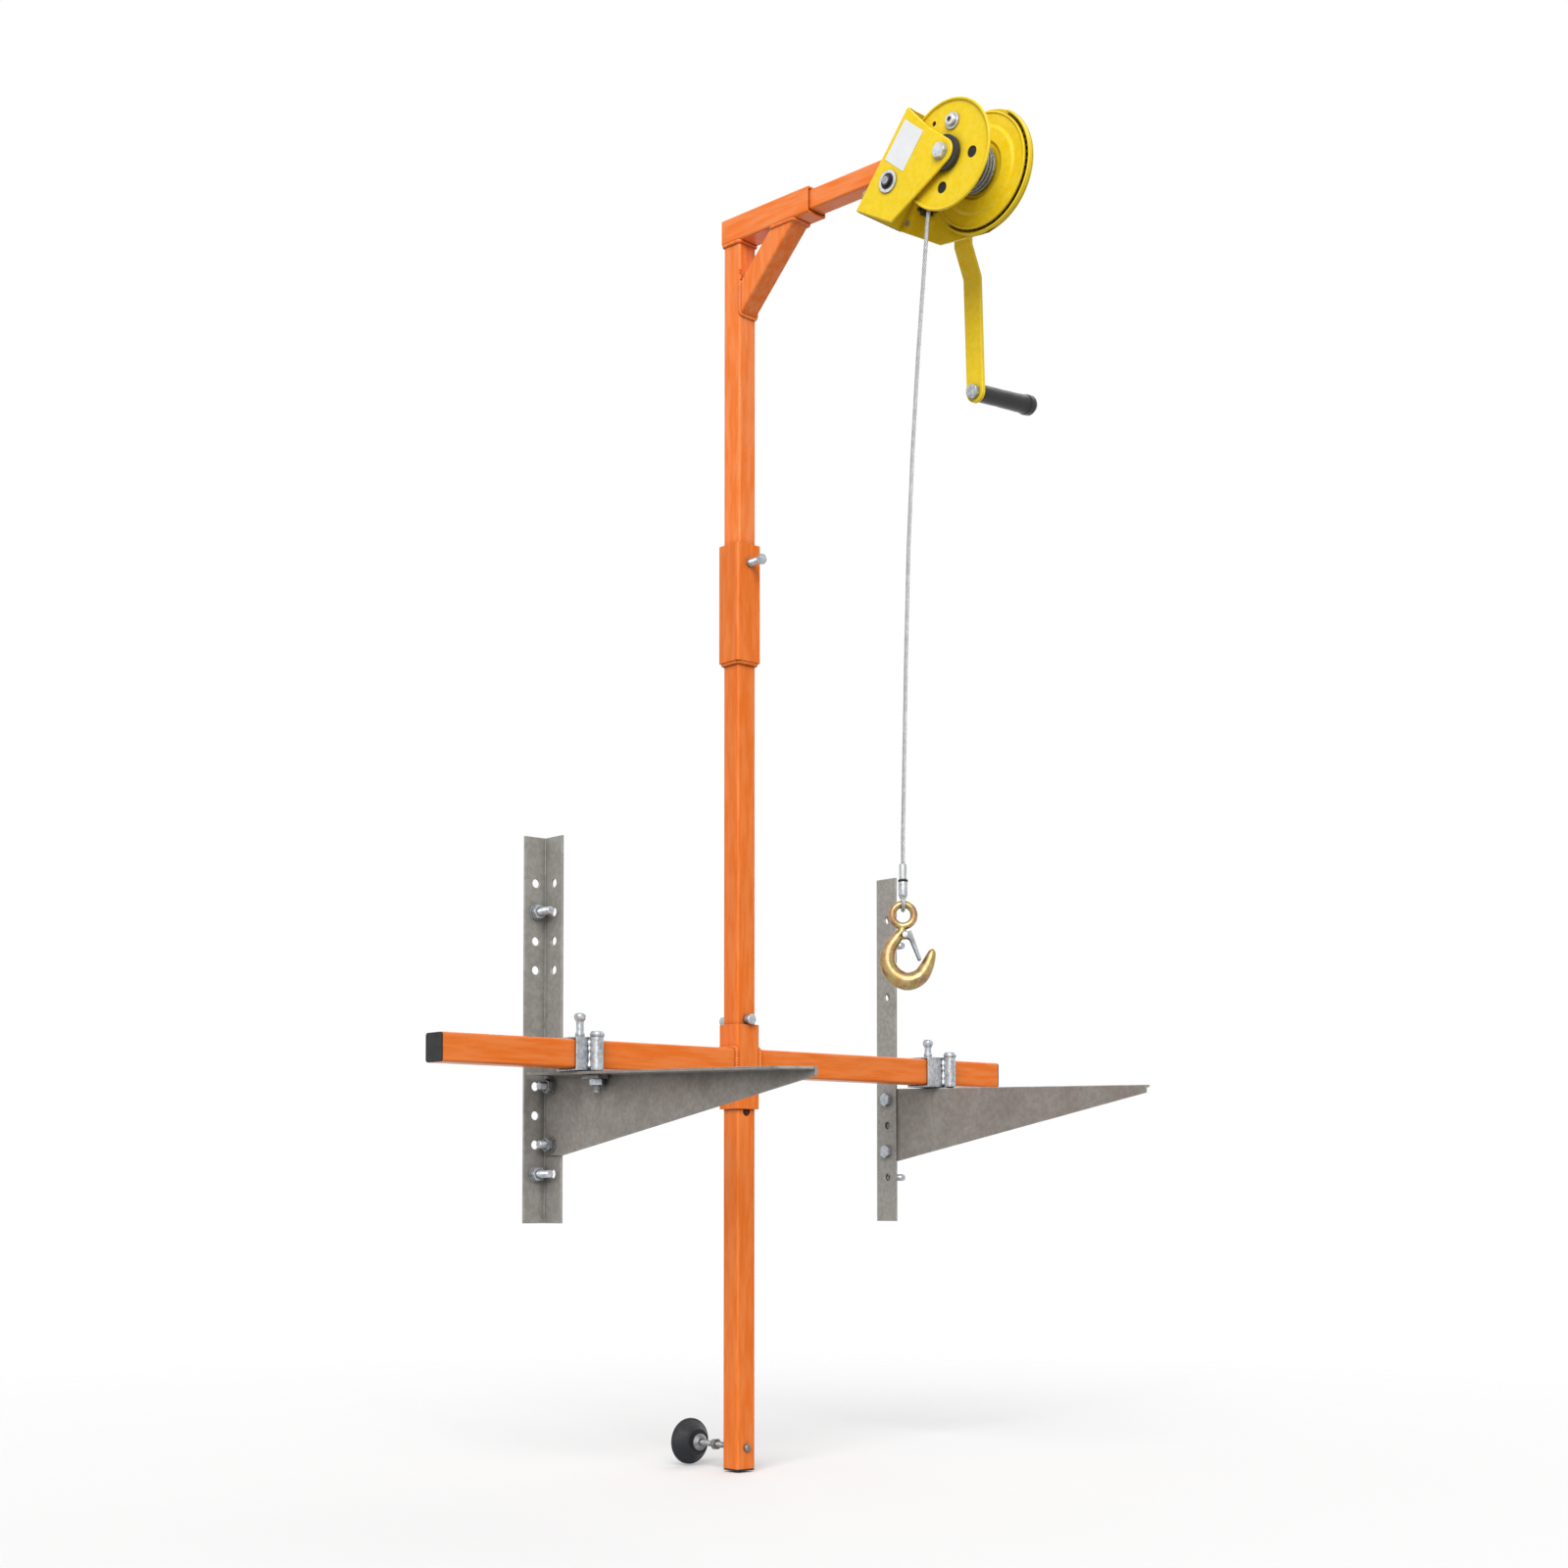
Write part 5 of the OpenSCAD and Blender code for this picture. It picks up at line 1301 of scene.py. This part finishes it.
class HOIST_OT_upper_arm(bpy.types.Operator):
    """Upper arm: post, boom and brace with their welds and grub screws"""

    bl_idname = "hoist.upper_arm"
    bl_label = "Upper Arm"

    def execute(self, context):
        sizes = context.scene.hoist_sizes
        body = "jib"
        under = BOOM_TOP - BOOM_W
        corner, rim = sizes.tube_corner, sizes.tube_rim
        post = square_tube(TUBE_W, TUBE_T, MAST_TOP + REST_GAP, under + 0.3, corner, rim)
        piece("post_tube", placed(post, JIB), "orange_post", body, ("jib_post",))
        here = JIB @ shift(0, BOOM_W / 2, BOOM_MID) @ AGAINST_Y
        boom = square_tube(BOOM_W, BOOM_T, 0, BOOM_W / 2 + BOOM_OUT, corner, rim + 0.2)
        holes = [placed(drill(4.1, -8, 8), JIB @ shift(0, y, BOOM_TOP)) for y in GRUB_AT]
        piece("boom_tube", placed(boom, here), "orange_boom", body, bores=holes)
        root_two = math.sqrt(2)
        start = (0.0, -BRACE_OUT + TUBE_W / root_two, under + 0.3)
        down = (BRACE_OUT - TUBE_W / root_two - TUBE_W / 2 + 0.8) * root_two
        d = 1 / root_two
        brace_frame = JIB @ axes(start, (1, 0, 0), (0, -d, -d), (0, d, -d))
        brace = square_tube(TUBE_W, TUBE_T, 0, down, corner, rim, cut_low=-1, cut_high=1)
        piece("brace_tube", placed(brace, brace_frame), "orange_post", body)
        ring = square_outline(TUBE_W / 2 + 0.2, sizes.tube_corner)
        long_ring = ring * np.array([1, root_two])
        round_post = at_height(ring * 1.03, under - 1.0)
        round_brace = at_height(long_ring + [0, start[1]], under - 0.7)
        welds = [
            bead(round_post, sizes.weld + 0.9, 31, (0, 0, 1), closed=True),
            bead(round_brace, sizes.weld + 0.6, 32, (0, 0, 1), closed=True),
        ]
        low = start[2] - down / root_two
        on_post = np.c_[ring[:, 0], np.full(len(ring), -TUBE_W / 2 - 0.4), long_ring[:, 1] + low]
        welds.append(bead(on_post, sizes.weld + 0.7, 33, (0, 1, 0), closed=True))
        random = np.random.default_rng(7)
        for height in random.uniform(low - 4, low + 44, 16):
            at = (TUBE_W / -2 + random.uniform(-0.3, 1.6), -TUBE_W / 2 - 0.1, height)
            r = random.uniform(0.5, 1.3)
            spatter = capped([[0, -r], [r, -r], [r, r], [0, r]], r, sides=14)
            welds.append(placed(spatter, shift(*at)))
        piece("upper_arm_welds", placed(joined(*welds), JIB), "orange_post", body, angle=SOFT_ANGLE)
        key = hex_radius(4)
        grub = lathed([(0, 0), (3.6, 0), (4, 0.4), (4, 5.1), (3.6, 5.5), (key, 5.5), (key, 2.6), (0, 2.4)])
        height = BOOM_MID + REACH_W / 2 + LOOSE_GAP
        grubs = [placed(grub, JIB @ shift(0, y, height)) for y in GRUB_AT]
        piece("boom_grub_screws", joined(*grubs), "black_steel", body, ("boom_screws",))
        return {"FINISHED"}


class HOIST_OT_winch_arm(bpy.types.Operator):
    """Winch arm: tube with its mounting plate, weld, bolts and nuts"""

    bl_idname = "hoist.winch_arm"
    bl_label = "Winch Arm"

    plate_low, plate_high, plate_near, plate_wide = 1.0, 128.0, -29.0, 70.0

    def execute(self, context):
        sizes = context.scene.hoist_sizes
        body = "winch"
        slope = TILT_S / TILT_C
        rise = BOOM_MID - BASE_Z
        meets = BASE_OUT - (PLATE_T - rise * TILT_S) / TILT_C
        here = JIB @ shift(0, -REACH_TAIL, BOOM_MID) @ AGAINST_Y
        length = meets - REACH_TAIL - 0.05
        corner = sizes.tube_corner - 0.4
        tube = square_tube(REACH_W, REACH_T, 0, length, corner, sizes.tube_rim, cut_high=slope)
        piece("winch_arm_tube", placed(tube, here), "orange_boom", body, ("winch_arm",))
        near, far = self.plate_near, self.plate_near + self.plate_wide
        low, high = self.plate_low, self.plate_high
        corners = [[near, low], [far, low], [far, high], [near, high]]
        plate_frame = WINCH @ shift(0, PLATE_T, 0) @ AGAINST_Y
        plate = slab(rounded(corners, 3.0, 4), 0, PLATE_T, 0.5)
        holes = [placed(drill(5.4, -4, 10), plate_frame @ shift(x, z, 0)) for x, z in MOUNT_POS]
        piece("mounting_plate", placed(plate, plate_frame), "orange", body, bores=holes)
        centre = (-meets + BASE_OUT) * -TILT_S + rise * TILT_C
        ring = square_outline(REACH_W / 2 + 0.3, corner) * np.array([1, math.hypot(1, slope)])
        path = np.c_[ring[:, 0], np.full(len(ring), PLATE_T + 0.4), ring[:, 1] + centre]
        weld = bead(path, sizes.weld + 0.5, 41, (0, 1, 0), closed=True, pitch=3.4)
        piece("mounting_weld", placed(weld, WINCH), "orange", body, angle=SOFT_ANGLE)
        head = bolt_head(BOLT_AF, -SIDE_T - 6.4, -SIDE_T)
        bolt = joined(head, thread(BOLT_D, -SIDE_T, PLATE_T + 13, sizes.thread_pitch))
        nut = hex_nut(BOLT_AF, PLATE_T, PLATE_T + 8, BOLT_D / 2)
        places = [WINCH @ shift(x, 0, z) @ ALONG_Y for x, z in MOUNT_POS]
        bolts = [placed(bolt, at) for at in places]
        nuts = [placed(nut, at) for at in places]
        piece("mount_bolt_pair", joined(*bolts), "gold", body, ("mount_bolts",))
        piece("mount_nut_pair", joined(*nuts), "gold", body, ("mount_nuts",))
        return {"FINISHED"}


class HOIST_OT_winch_frame(bpy.types.Operator):
    """Winch frame with its blank label, bushes and bolt"""

    bl_idname = "hoist.winch_frame"
    bl_label = "Winch Frame"

    def execute(self, context):
        sizes = context.scene.hoist_sizes
        body = "winch"
        back = np.linalg.inv(WINCH)

        def bend(middle, along):
            """Wider rounding at the base's folds, and a little round the near plate's outline."""
            at = moved(middle[None], back)[0]
            run = back[:3, :3] @ along
            at_base = abs(run[2]) > 60 and abs(at[1]) < 0.4
            at_side = min(abs(at[0] - SIDE_NEAR), abs(at[0] - FAR_OUT)) < 0.4
            if at_base and at_side:
                return sizes.sheet_bend + 0.8
            return 1.3 if abs(at[0] - SIDE_NEAR) < 0.1 else None

        softened("winch_frame", "winch_frame_shell", "yellow", body, 0.7, bend)
        label = slab(rounded([[-43, 68], [-6, 68], [-6, 119], [-43, 119]], 1.2, 3), 0, 0.4, 0.12)
        here = WINCH @ axes((SIDE_NEAR - 0.4, 0, 0), (0, 1, 0), (0, 0, 1), (1, 0, 0))
        piece("blank_label", placed(label, here), "label", body, ("winch_label",))
        washers = [
            disc(13.5, SIDE_NEAR - 2.5, SIDE_NEAR, 0.5, 9.6),
            disc(9.8, SIDE_FAR + 0.2, FAR_OUT + 2, 0.3, 6.4),
        ]
        # its finish is a brighter zinc: a painted highlight
        piece("shaft_washer", placed(joined(*washers), SHAFT_AXIS), "weld_metal", body, ("shaft_bush",))
        bush = disc(9.6, SIDE_NEAR - 1.6, SIDE_NEAR + SIDE_T, 0.4, 6.1)
        piece("shaft_bush_ring", placed(bush, SHAFT_AXIS), "bush", body)
        head = joined(
            bolt_head(16.5, SIDE_NEAR - 6.9, SIDE_NEAR - 1.4),
            disc(9.4, SIDE_NEAR - 1.5, SIDE_NEAR, 0.6),
        )
        stem = disc(DRUM_BOLT_D / 2, SIDE_NEAR, FAR_OUT, 0.1)
        tail = thread(DRUM_BOLT_D, FAR_OUT, FAR_OUT + 12, 1.75)
        bolt = placed(joined(head, stem, tail), DRUM_AXIS)
        # its finish is a brighter zinc: a painted highlight
        piece("drum_axle_bolt", bolt, "weld_metal", body, ("drum_bolt",))
        nut = hex_nut(19, FAR_OUT, FAR_OUT + 9, DRUM_BOLT_D / 2)
        piece("drum_axle_nut", placed(nut, DRUM_AXIS), "zinc", body, ("drum_nut",))
        low, high = SIDE_NEAR + SIDE_T + LOOSE_GAP, FRONT_X - LOOSE_GAP
        line = [[6.05, low], [21, low], [21, high - 1.5], [19.5, high], [6.05, high]]
        bush = placed(turned(rounded(line, 0.6, 3), 64, True), DRUM_AXIS)
        piece("drum_hub_bush", bush, "bush", body, ("drum_bush",))
        return {"FINISHED"}


class HOIST_OT_drum(bpy.types.Operator):
    """Drum with rolled front rim and stepped rear flange, its gear, rope clamp and wound rope"""

    bl_idname = "hoist.drum"
    bl_label = "Drum"

    def execute(self, context):
        sizes = context.scene.hoist_sizes
        body = "rope_drum"
        # f is the front flange's outer face, e the rear flange's face that the gear lies on
        f, e = FRONT_X, GEAR_X
        bore = DRUM_BOLT_D / 2 + RUN_GAP
        end = SIDE_FAR - LOOSE_GAP
        # radius, place along the axis and rounding of each corner of the section
        corners = np.array([
            (bore, f, 0.2), (FRONT_R - 4, f, 1.2), (FRONT_R - 3, f - 2.4, 0.8),
            (FRONT_R - 1.2, f - 3, 0.9), (FRONT_R, f - 1.6, 0.8), (FRONT_R, f, 0.6),
            (FRONT_R - 1.5, f + 2, 0.8), (BARREL_R, f + 2, 1.5), (BARREL_R, e - 2.6, 1.5),
            (33, e - 2.6, 1.5), (36, e - 5, 2.0), (50, e - 4, 3.0), (54, e - 2, 2.5),
            (REAR_R - 3, e - 2, 1.2), (REAR_R - 2, e - 3.4, 0.5), (REAR_R - 0.6, e - 3.4, 0.5),
            (REAR_R, e - 2.4, 0.5), (REAR_R, e, 0.4), (20, e, 0.5), (20, end, 0.5), (bore, end, 0.3),
        ])
        line = rounded(corners[:, :2], corners[:, 2], 4)
        places = [(on_flange(f - 3, angle, FLANGE_HOLE_R), 7) for angle in (26.5, 206.5, 296.5)]
        places.append((on_flange(f - 3, 154.6, 48), 3))
        holes = [placed(drill(r, 0, 8), at) for at, r in places]
        shell = placed(turned(line, 128, True), DRUM_AXIS)
        piece("drum_flanges", shell, "yellow", body, ("drum",), bores=holes)
        # dark discs just inside the flange's holes: painted shade in the holes
        hole_shade_discs = [placed(disc(r - 0.02, 4.3, 4.9, 0.1), at) for at, r in places]
        piece("flange_hole_backs", joined(*hole_shade_discs), "cap", body)
        softened("drum_gear", "drum_ring_gear", "black_steel", body, 0.25)
        self.winding(sizes, body)
        washer = disc(10, -2.4, -0.05, 0.5)
        key = hex_radius(6)
        head = lathed([(0, -2), (6.5, -2), (6.5, -6.7), (5.8, -7.4), (key, -7.4), (key, -4.4), (0, -4)])
        screw = placed(joined(washer, head), on_flange(f, 116.5, FLANGE_HOLE_R))
        # its finish is a brighter zinc: a painted highlight
        piece("rope_clamp_screw", screw, "weld_metal", body, ("rope_clamp",))
        return {"FINISHED"}

    def winding(self, sizes, body):
        """Wound rope: (start + pitch t, R cos a, R sin a), a = 360 t less the tilt, its ends straight."""
        t = np.linspace(0, WIND_TURNS, WIND_TURNS * 90 + 1)
        a = np.radians(-WINCH_TILT + 360 * t)
        x = WIND_X + (ROPE_D + ROPE_GAP) * t
        path = np.stack([x, WOUND_R * np.cos(a), WOUND_R * np.sin(a)], 1)
        out = np.stack([0 * a, np.cos(a), np.sin(a)], 1)
        ahead = np.stack([0 * a, -np.sin(a), np.cos(a)], 1)
        side = np.cross(ahead, out)
        first = path[:1] - ahead[:1] * ROPE_D * np.array([[1.0], [0.5]])
        last = path[-1:] + ahead[-1:] * ROPE_D * np.array([[0.5], [1.0]])
        path = np.concatenate([first, path, last])
        out = np.concatenate([out[[0, 0]], out, out[[-1, -1]]])
        side = np.concatenate([side[[0, 0]], side, side[[-1, -1]]])
        shell = stranded(path, out, side, ROPE_D, sizes.rope_lay, sizes.rope_strands)
        here = WINCH @ shift(0, -DRUM_OUT, DRUM_UP)
        # its finish is the rope made darker: painted shade
        piece("wound_rope", placed(shell, here), "wound", body, ("winding",), angle=SOFT_ANGLE)


class HOIST_OT_gears(bpy.types.Operator):
    """Pinion, ratchet wheel, brake discs and hub, pawl with its pin and spring"""

    bl_idname = "hoist.gears"
    bl_label = "Gears and Brake"

    def execute(self, context):
        softened("pinion", "pinion_shaft", "black_steel", "crank", 0.25)
        end = disc(4.6, SIDE_NEAR - 6.9, SIDE_NEAR - 5.9, 0.4)
        piece("shaft_end_face", placed(end, SHAFT_AXIS), "zinc", "crank")
        softened("ratchet", "ratchet_wheel", "black_steel", "winch", 0.4)
        discs = [disc(24, x, x + 3, 0.4, 14.1, 72) for x in (WHEEL_X - 3.2, WHEEL_X + 5.2)]
        discs = placed(joined(*discs), SHAFT_AXIS)
        piece("brake_lining_discs", discs, "lining", "crank", ("brake_discs",))
        softened("brake_hub", "brake_hub_body", "zinc", "crank", 0.6)
        softened("pawl", "pawl_arm", "black_steel", "pawl_lever", 0.4)
        pawl_out, pawl_up = SHAFT_OUT - 20, SHAFT_UP - 36
        here = WINCH @ shift(0, -pawl_out, pawl_up) @ ALONG_X
        head = WHEEL_X + 5.2
        line = [[0, SIDE_FAR + 0.2], [4, SIDE_FAR + 0.2], [4, head], [7, head], [7, head + 2], [0, head + 3]]
        pin = capped(line, (0, 0.5, 0.3, 0.4, 0.6, 0), 3, 40)
        piece("pawl_pin_rivet", placed(pin, here), "zinc", "winch", ("pawl_pin",))
        turns = 6
        t = np.linspace(0, turns, turns * 24 + 1)
        a = 2 * np.pi * t
        x = FAR_OUT + 1.8 + 7.4 * t / turns
        path = np.stack([5.15 * np.cos(a), 5.15 * np.sin(a), x], 1)
        coil = placed(swept(path, 0.58, (0, 0, 1), 8), here)
        piece("pawl_coil_spring", coil, "zinc", "winch", ("pawl_spring",), angle=SOFT_ANGLE)
        return {"FINISHED"}


class HOIST_OT_crank(bpy.types.Operator):
    """Crank bar with its nut, and the grip turning on its bolt"""

    bl_idname = "hoist.crank"
    bl_label = "Crank"

    def execute(self, context):
        softened("crank_arm", "crank_bar", "yellow", "crank", 1.0)
        here = JIB @ shift(*SHAFT_AT) @ ALONG_X
        nut = hexagon(18, CRANK_X + CRANK_T, CRANK_X + CRANK_T + 9, SHAFT_D / 2)
        piece("crank_hub_nut", placed(nut, here), "zinc", "crank", ("crank_nut",))
        start = CRANK_T + 0.9
        r = GRIP_D / 2
        # radius, place along the axis and rounding of each corner of the section
        corners = np.array([
            (5.05, 0, 0.3), (r - 1.4, 0, 1.2), (r - 0.6, 2.4, 1.0), (r - 0.7, 40, 12),
            (r - 0.1, 84, 12), (r + 0.3, 92, 3), (r + 1.2, 95, 2.5), (r + 1.2, GRIP_LEN - 6, 3),
            (r - 2.4, GRIP_LEN, 4), (8.4, GRIP_LEN, 0.6), (8, GRIP_LEN - 1, 0.6),
            (8, GRIP_LEN - 9, 0.5), (5.05, GRIP_LEN - 9, 0.3),
        ])
        shell = turned(rounded(corners[:, :2], corners[:, 2], 4), 72, True)
        piece("turning_grip", placed(shell, grip_axis(start)), "grip", "crank_grip", ("grip",))
        head = bolt_head(BOLT_AF, -7.5, -0.5)
        stem = disc(5, -0.6, start + GRIP_LEN - 7, 0.2)
        end = start + GRIP_LEN - 8.7
        button = disc(7.5, end, end + 3, 0.9)
        shell = placed(joined(head, stem, button), grip_axis(0))
        piece("grip_axle_bolt", shell, "zinc", "crank", ("grip_bolt",))
        return {"FINISHED"}


class HOIST_OT_rope(bpy.types.Operator):
    """Free wire rope from the drum to its pressed ferrule and end loop"""

    bl_idname = "hoist.rope"
    bl_label = "Rope"

    loop_r = 8.0

    def execute(self, context):
        sizes = context.scene.hoist_sizes
        y = -BASE_OUT - DRUM_OUT * TILT_C - DRUM_UP * TILT_S + WOUND_R
        top = BASE_Z - DRUM_OUT * TILT_S + DRUM_UP * TILT_C - ROPE_D - RUN_GAP
        x = WIND_X
        # the route's listed points: side, ahead and height
        way = np.array([
            [x, y, top], [x, y, top - 10], [x, y + 3, top - 35], [x, y + 8, top - 65],
            [x - 1.5, y + 10, top - 100], [x - 3, y + 12.5, top - 140], [x - 6, y + 18, top - 225],
            [x - 10, y + 23.5, top - 340], [x - 14, y + 27, top - 460], [x - 18, y + 28, top - 600],
            [HOOK_SIDE, -HOOK_OUT, HOOK_Z + 90], [HOOK_SIDE, -HOOK_OUT, ROPE_END],
        ])
        path = evenly(way, 2.4)
        a, b = path_frames(path, (1, 0, 0))
        shell = placed(stranded(path, a, b, ROPE_D, sizes.rope_lay, sizes.rope_strands), JIB)
        rope = piece("free_rope", shell, "rope", "winch", ("rope",), angle=SOFT_ANGLE)
        ferrule = self.ferrule(sizes)
        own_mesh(rope)
        return {"FINISHED"}

    def ferrule(self, sizes):
        """Pressed ferrule with its band, the rope end's cover and the end loop."""
        here = JIB @ shift(HOOK_SIDE, -HOOK_OUT, 0) @ turn(2, HOOK_TURN)
        low, high = HOOK_Z + 19, ROPE_END - REST_GAP
        line = [[0, low], [3.6, low], [5.5, low + 5], [5.5, high - 3], [4.4, high], [0, high]]
        sleeve = capped(line, (0, 0.8, 2.5, 1.5, 0.8, 0), sides=40)
        obj = piece("pressed_ferrule", placed(sleeve, here), "zinc", "hook_block", ("ferrule",))
        band = disc(5.9, high - 2.2, high + 0.4, 0.6, 3.2)
        piece("ferrule_band", placed(band, here), "cap", "hook_block")
        cover = disc(4.5, high + 0.3, high + 19, 0.9, 2.7)
        piece("rope_end_cover", placed(cover, here), "rope", "hook_block")
        centre = HOOK_Z + EYE_R - EYE_BAR - REST_GAP - ROPE_D / 2 + self.loop_r
        a = np.radians(np.linspace(130, 410, 40))
        arc = np.c_[self.loop_r * np.cos(a), self.loop_r * np.sin(a) + centre]
        first, last = [[-1.4, low + 1.5]], [[1.4, low + 1.5]]
        loop = evenly(np.concatenate([first, arc[arc[:, 1] < low + 0.5], last]), 1.5)
        path = np.c_[np.zeros(len(loop)), loop[:, 0], loop[:, 1]]
        side, other = path_frames(path, (1, 0, 0))
        shell = stranded(path, side, other, ROPE_D, sizes.rope_lay, sizes.rope_strands)
        piece("rope_end_loop", placed(shell, here), "rope", "hook_block", angle=SOFT_ANGLE)
        return obj


class HOIST_OT_hook(bpy.types.Operator):
    """Forged hook with a round eye, its sprung latch and the latch's rivet"""

    bl_idname = "hoist.hook"
    bl_label = "Hook"

    # x, z and bar radius along the hook's middle line, from the eye's centre
    line = (
        (0, -14, 3.8), (-1.5, -19, 5.0), (-8.2, -28, 6.9), (-16.6, -42, 8.4), (-18.2, -57, 9.6),
        (-10, -71.5, 10.4), (4.8, -78.6, 10.9), (19.6, -73.4, 9.8), (28.8, -59.6, 7.9),
        (33.2, -48, 5.8), (35.8, -39.5, 3.6),
    )

    def execute(self, context):
        body = "hook_body"
        a = round_angles(72)
        circle = np.c_[EYE_R * np.cos(a), 0 * a, EYE_R * np.sin(a)]
        eye = swept(circle, EYE_BAR, (0, 1, 0), 20, closed=True)
        points = np.array(self.line, float)
        run = np.r_[0, np.cumsum(np.linalg.norm(np.diff(points[:, :2], axis=0), axis=1))]
        dense = np.linspace(0, run[-1], 110)
        smooth = np.stack([self.spline(run, points[:, k], dense) for k in range(3)], 1)
        path = np.c_[smooth[:, 0], 0 * dense, smooth[:, 1]]
        ends = np.minimum(1, np.sqrt(np.clip((run[-1] - dense) / 3.5, 0.02, 1)))
        bar = swept(path, smooth[:, 2] * ends, (0, 1, 0), 28)
        lug = placed(disc(5, -4.6, 4.6, 0.8), shift(*LATCH_AT) @ ALONG_Y)
        mesh = new_mesh("forged_hook", placed(joined(eye, bar, lug), HOOK))
        hook = new_object("forged_hook", mesh)
        skin = hook.modifiers.new("skin", "REMESH")
        skin.mode = "VOXEL"
        skin.voxel_size = 0.0008
        blend = hook.modifiers.new("blend", "SMOOTH")
        blend.factor = 0.5
        blend.iterations = 12
        bake_modifiers(hook)
        smooth_shade(hook.data, 80)
        dressed(hook, "gold", body, ("hook",))
        flat = HOOK @ axes(LATCH_AT, (1, 0, 0), (0, 0, 1), (0, -1, 0))
        cheek = [[-2.6, 3.0], [6.4, 5.0], [9.4, -1.5], [18.8, -29.4], [16.2, -30], [5.6, -4.6]]
        cheek += [[1.5, -3.6], [-2.9, -2.6]]
        cheek = rounded(cheek[::-1], (1.6, 1.6, 3, 0.8, 0.8, 3, 2, 1.6), 3)
        strip = [[6.2, 5.0], [7.4, 5.2], [19.4, -29.2], [18.2, -29.8]]
        parts = [slab(cheek, side * 7.2 - 0.7, side * 7.2 + 0.7, 0.3) for side in (-1, 1)]
        parts.append(slab(rounded(strip[::-1], 0.4, 2), -7.3, 7.3, 0.3))
        piece("sprung_latch", placed(joined(*parts), flat), "worn_zinc", "latch_gate", ("latch",))
        bars = ((2, -8.6, 8.6, 0.1), (3.4, 8.3, 9.5, 0.5), (3.4, -9.5, -8.3, 0.5))
        rivet = joined(*[disc(*bar, sides=32) for bar in bars])
        rivet = placed(rivet, HOOK @ shift(*LATCH_AT) @ ALONG_Y)
        piece("latch_rivet_pin", rivet, "zinc", body, ("latch_rivet",))
        return {"FINISHED"}

    def spline(self, at, values, where):
        """Smooth curve through given values: cubic Hermite with slopes from the neighbours."""
        slope = np.gradient(values, at)
        k = np.clip(np.searchsorted(at, where) - 1, 0, len(at) - 2)
        h = at[k + 1] - at[k]
        t = (where - at[k]) / h
        a, b = values[k], values[k + 1]
        return (
            a * (2 * t**3 - 3 * t**2 + 1) + b * (3 * t**2 - 2 * t**3)
            + h * slope[k] * (t**3 - 2 * t**2 + t) + h * slope[k + 1] * (t**3 - t**2)
        )


class HOIST_PT_panel(bpy.types.Panel):
    """Sidebar panel that lists the sizes, colours and pieces"""

    bl_idname = "HOIST_PT_panel"
    bl_label = "Air Conditioner Hoist"
    bl_space_type = "VIEW_3D"
    bl_region_type = "UI"
    bl_category = "Hoist"

    def draw(self, context):
        """Draws the settings and one button for each operator."""
        for holder in (context.scene.hoist_sizes, context.scene.hoist_colours):
            for name in holder.__annotations__:
                self.layout.prop(holder, name)
        for operator in PIECES:
            self.layout.operator(operator.bl_idname)


PIECES = (
    HOIST_OT_stage, HOIST_OT_rope, HOIST_OT_mast, HOIST_OT_crossbar, HOIST_OT_brackets, HOIST_OT_clamps,
    HOIST_OT_foot, HOIST_OT_upper_arm, HOIST_OT_winch_arm, HOIST_OT_winch_frame, HOIST_OT_drum,
    HOIST_OT_gears, HOIST_OT_crank, HOIST_OT_hook,
)
CLASSES = (HoistSizes, HoistColours, *PIECES, HOIST_PT_panel)


def register():
    """Adds the classes and the two groups of settings."""
    for c in CLASSES:
        bpy.utils.register_class(c)
    bpy.types.Scene.hoist_sizes = PointerProperty(type=HoistSizes)
    bpy.types.Scene.hoist_colours = PointerProperty(type=HoistColours)


def unregister():
    """Takes the settings and the classes away again."""
    del bpy.types.Scene.hoist_sizes
    del bpy.types.Scene.hoist_colours
    for c in reversed(CLASSES):
        bpy.utils.unregister_class(c)


def main():
    """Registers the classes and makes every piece."""
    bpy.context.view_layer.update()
    register()
    for operator in PIECES:
        family, name = operator.bl_idname.split(".")
        getattr(getattr(bpy.ops, family), name)()


if __name__ == "__main__":
    main()
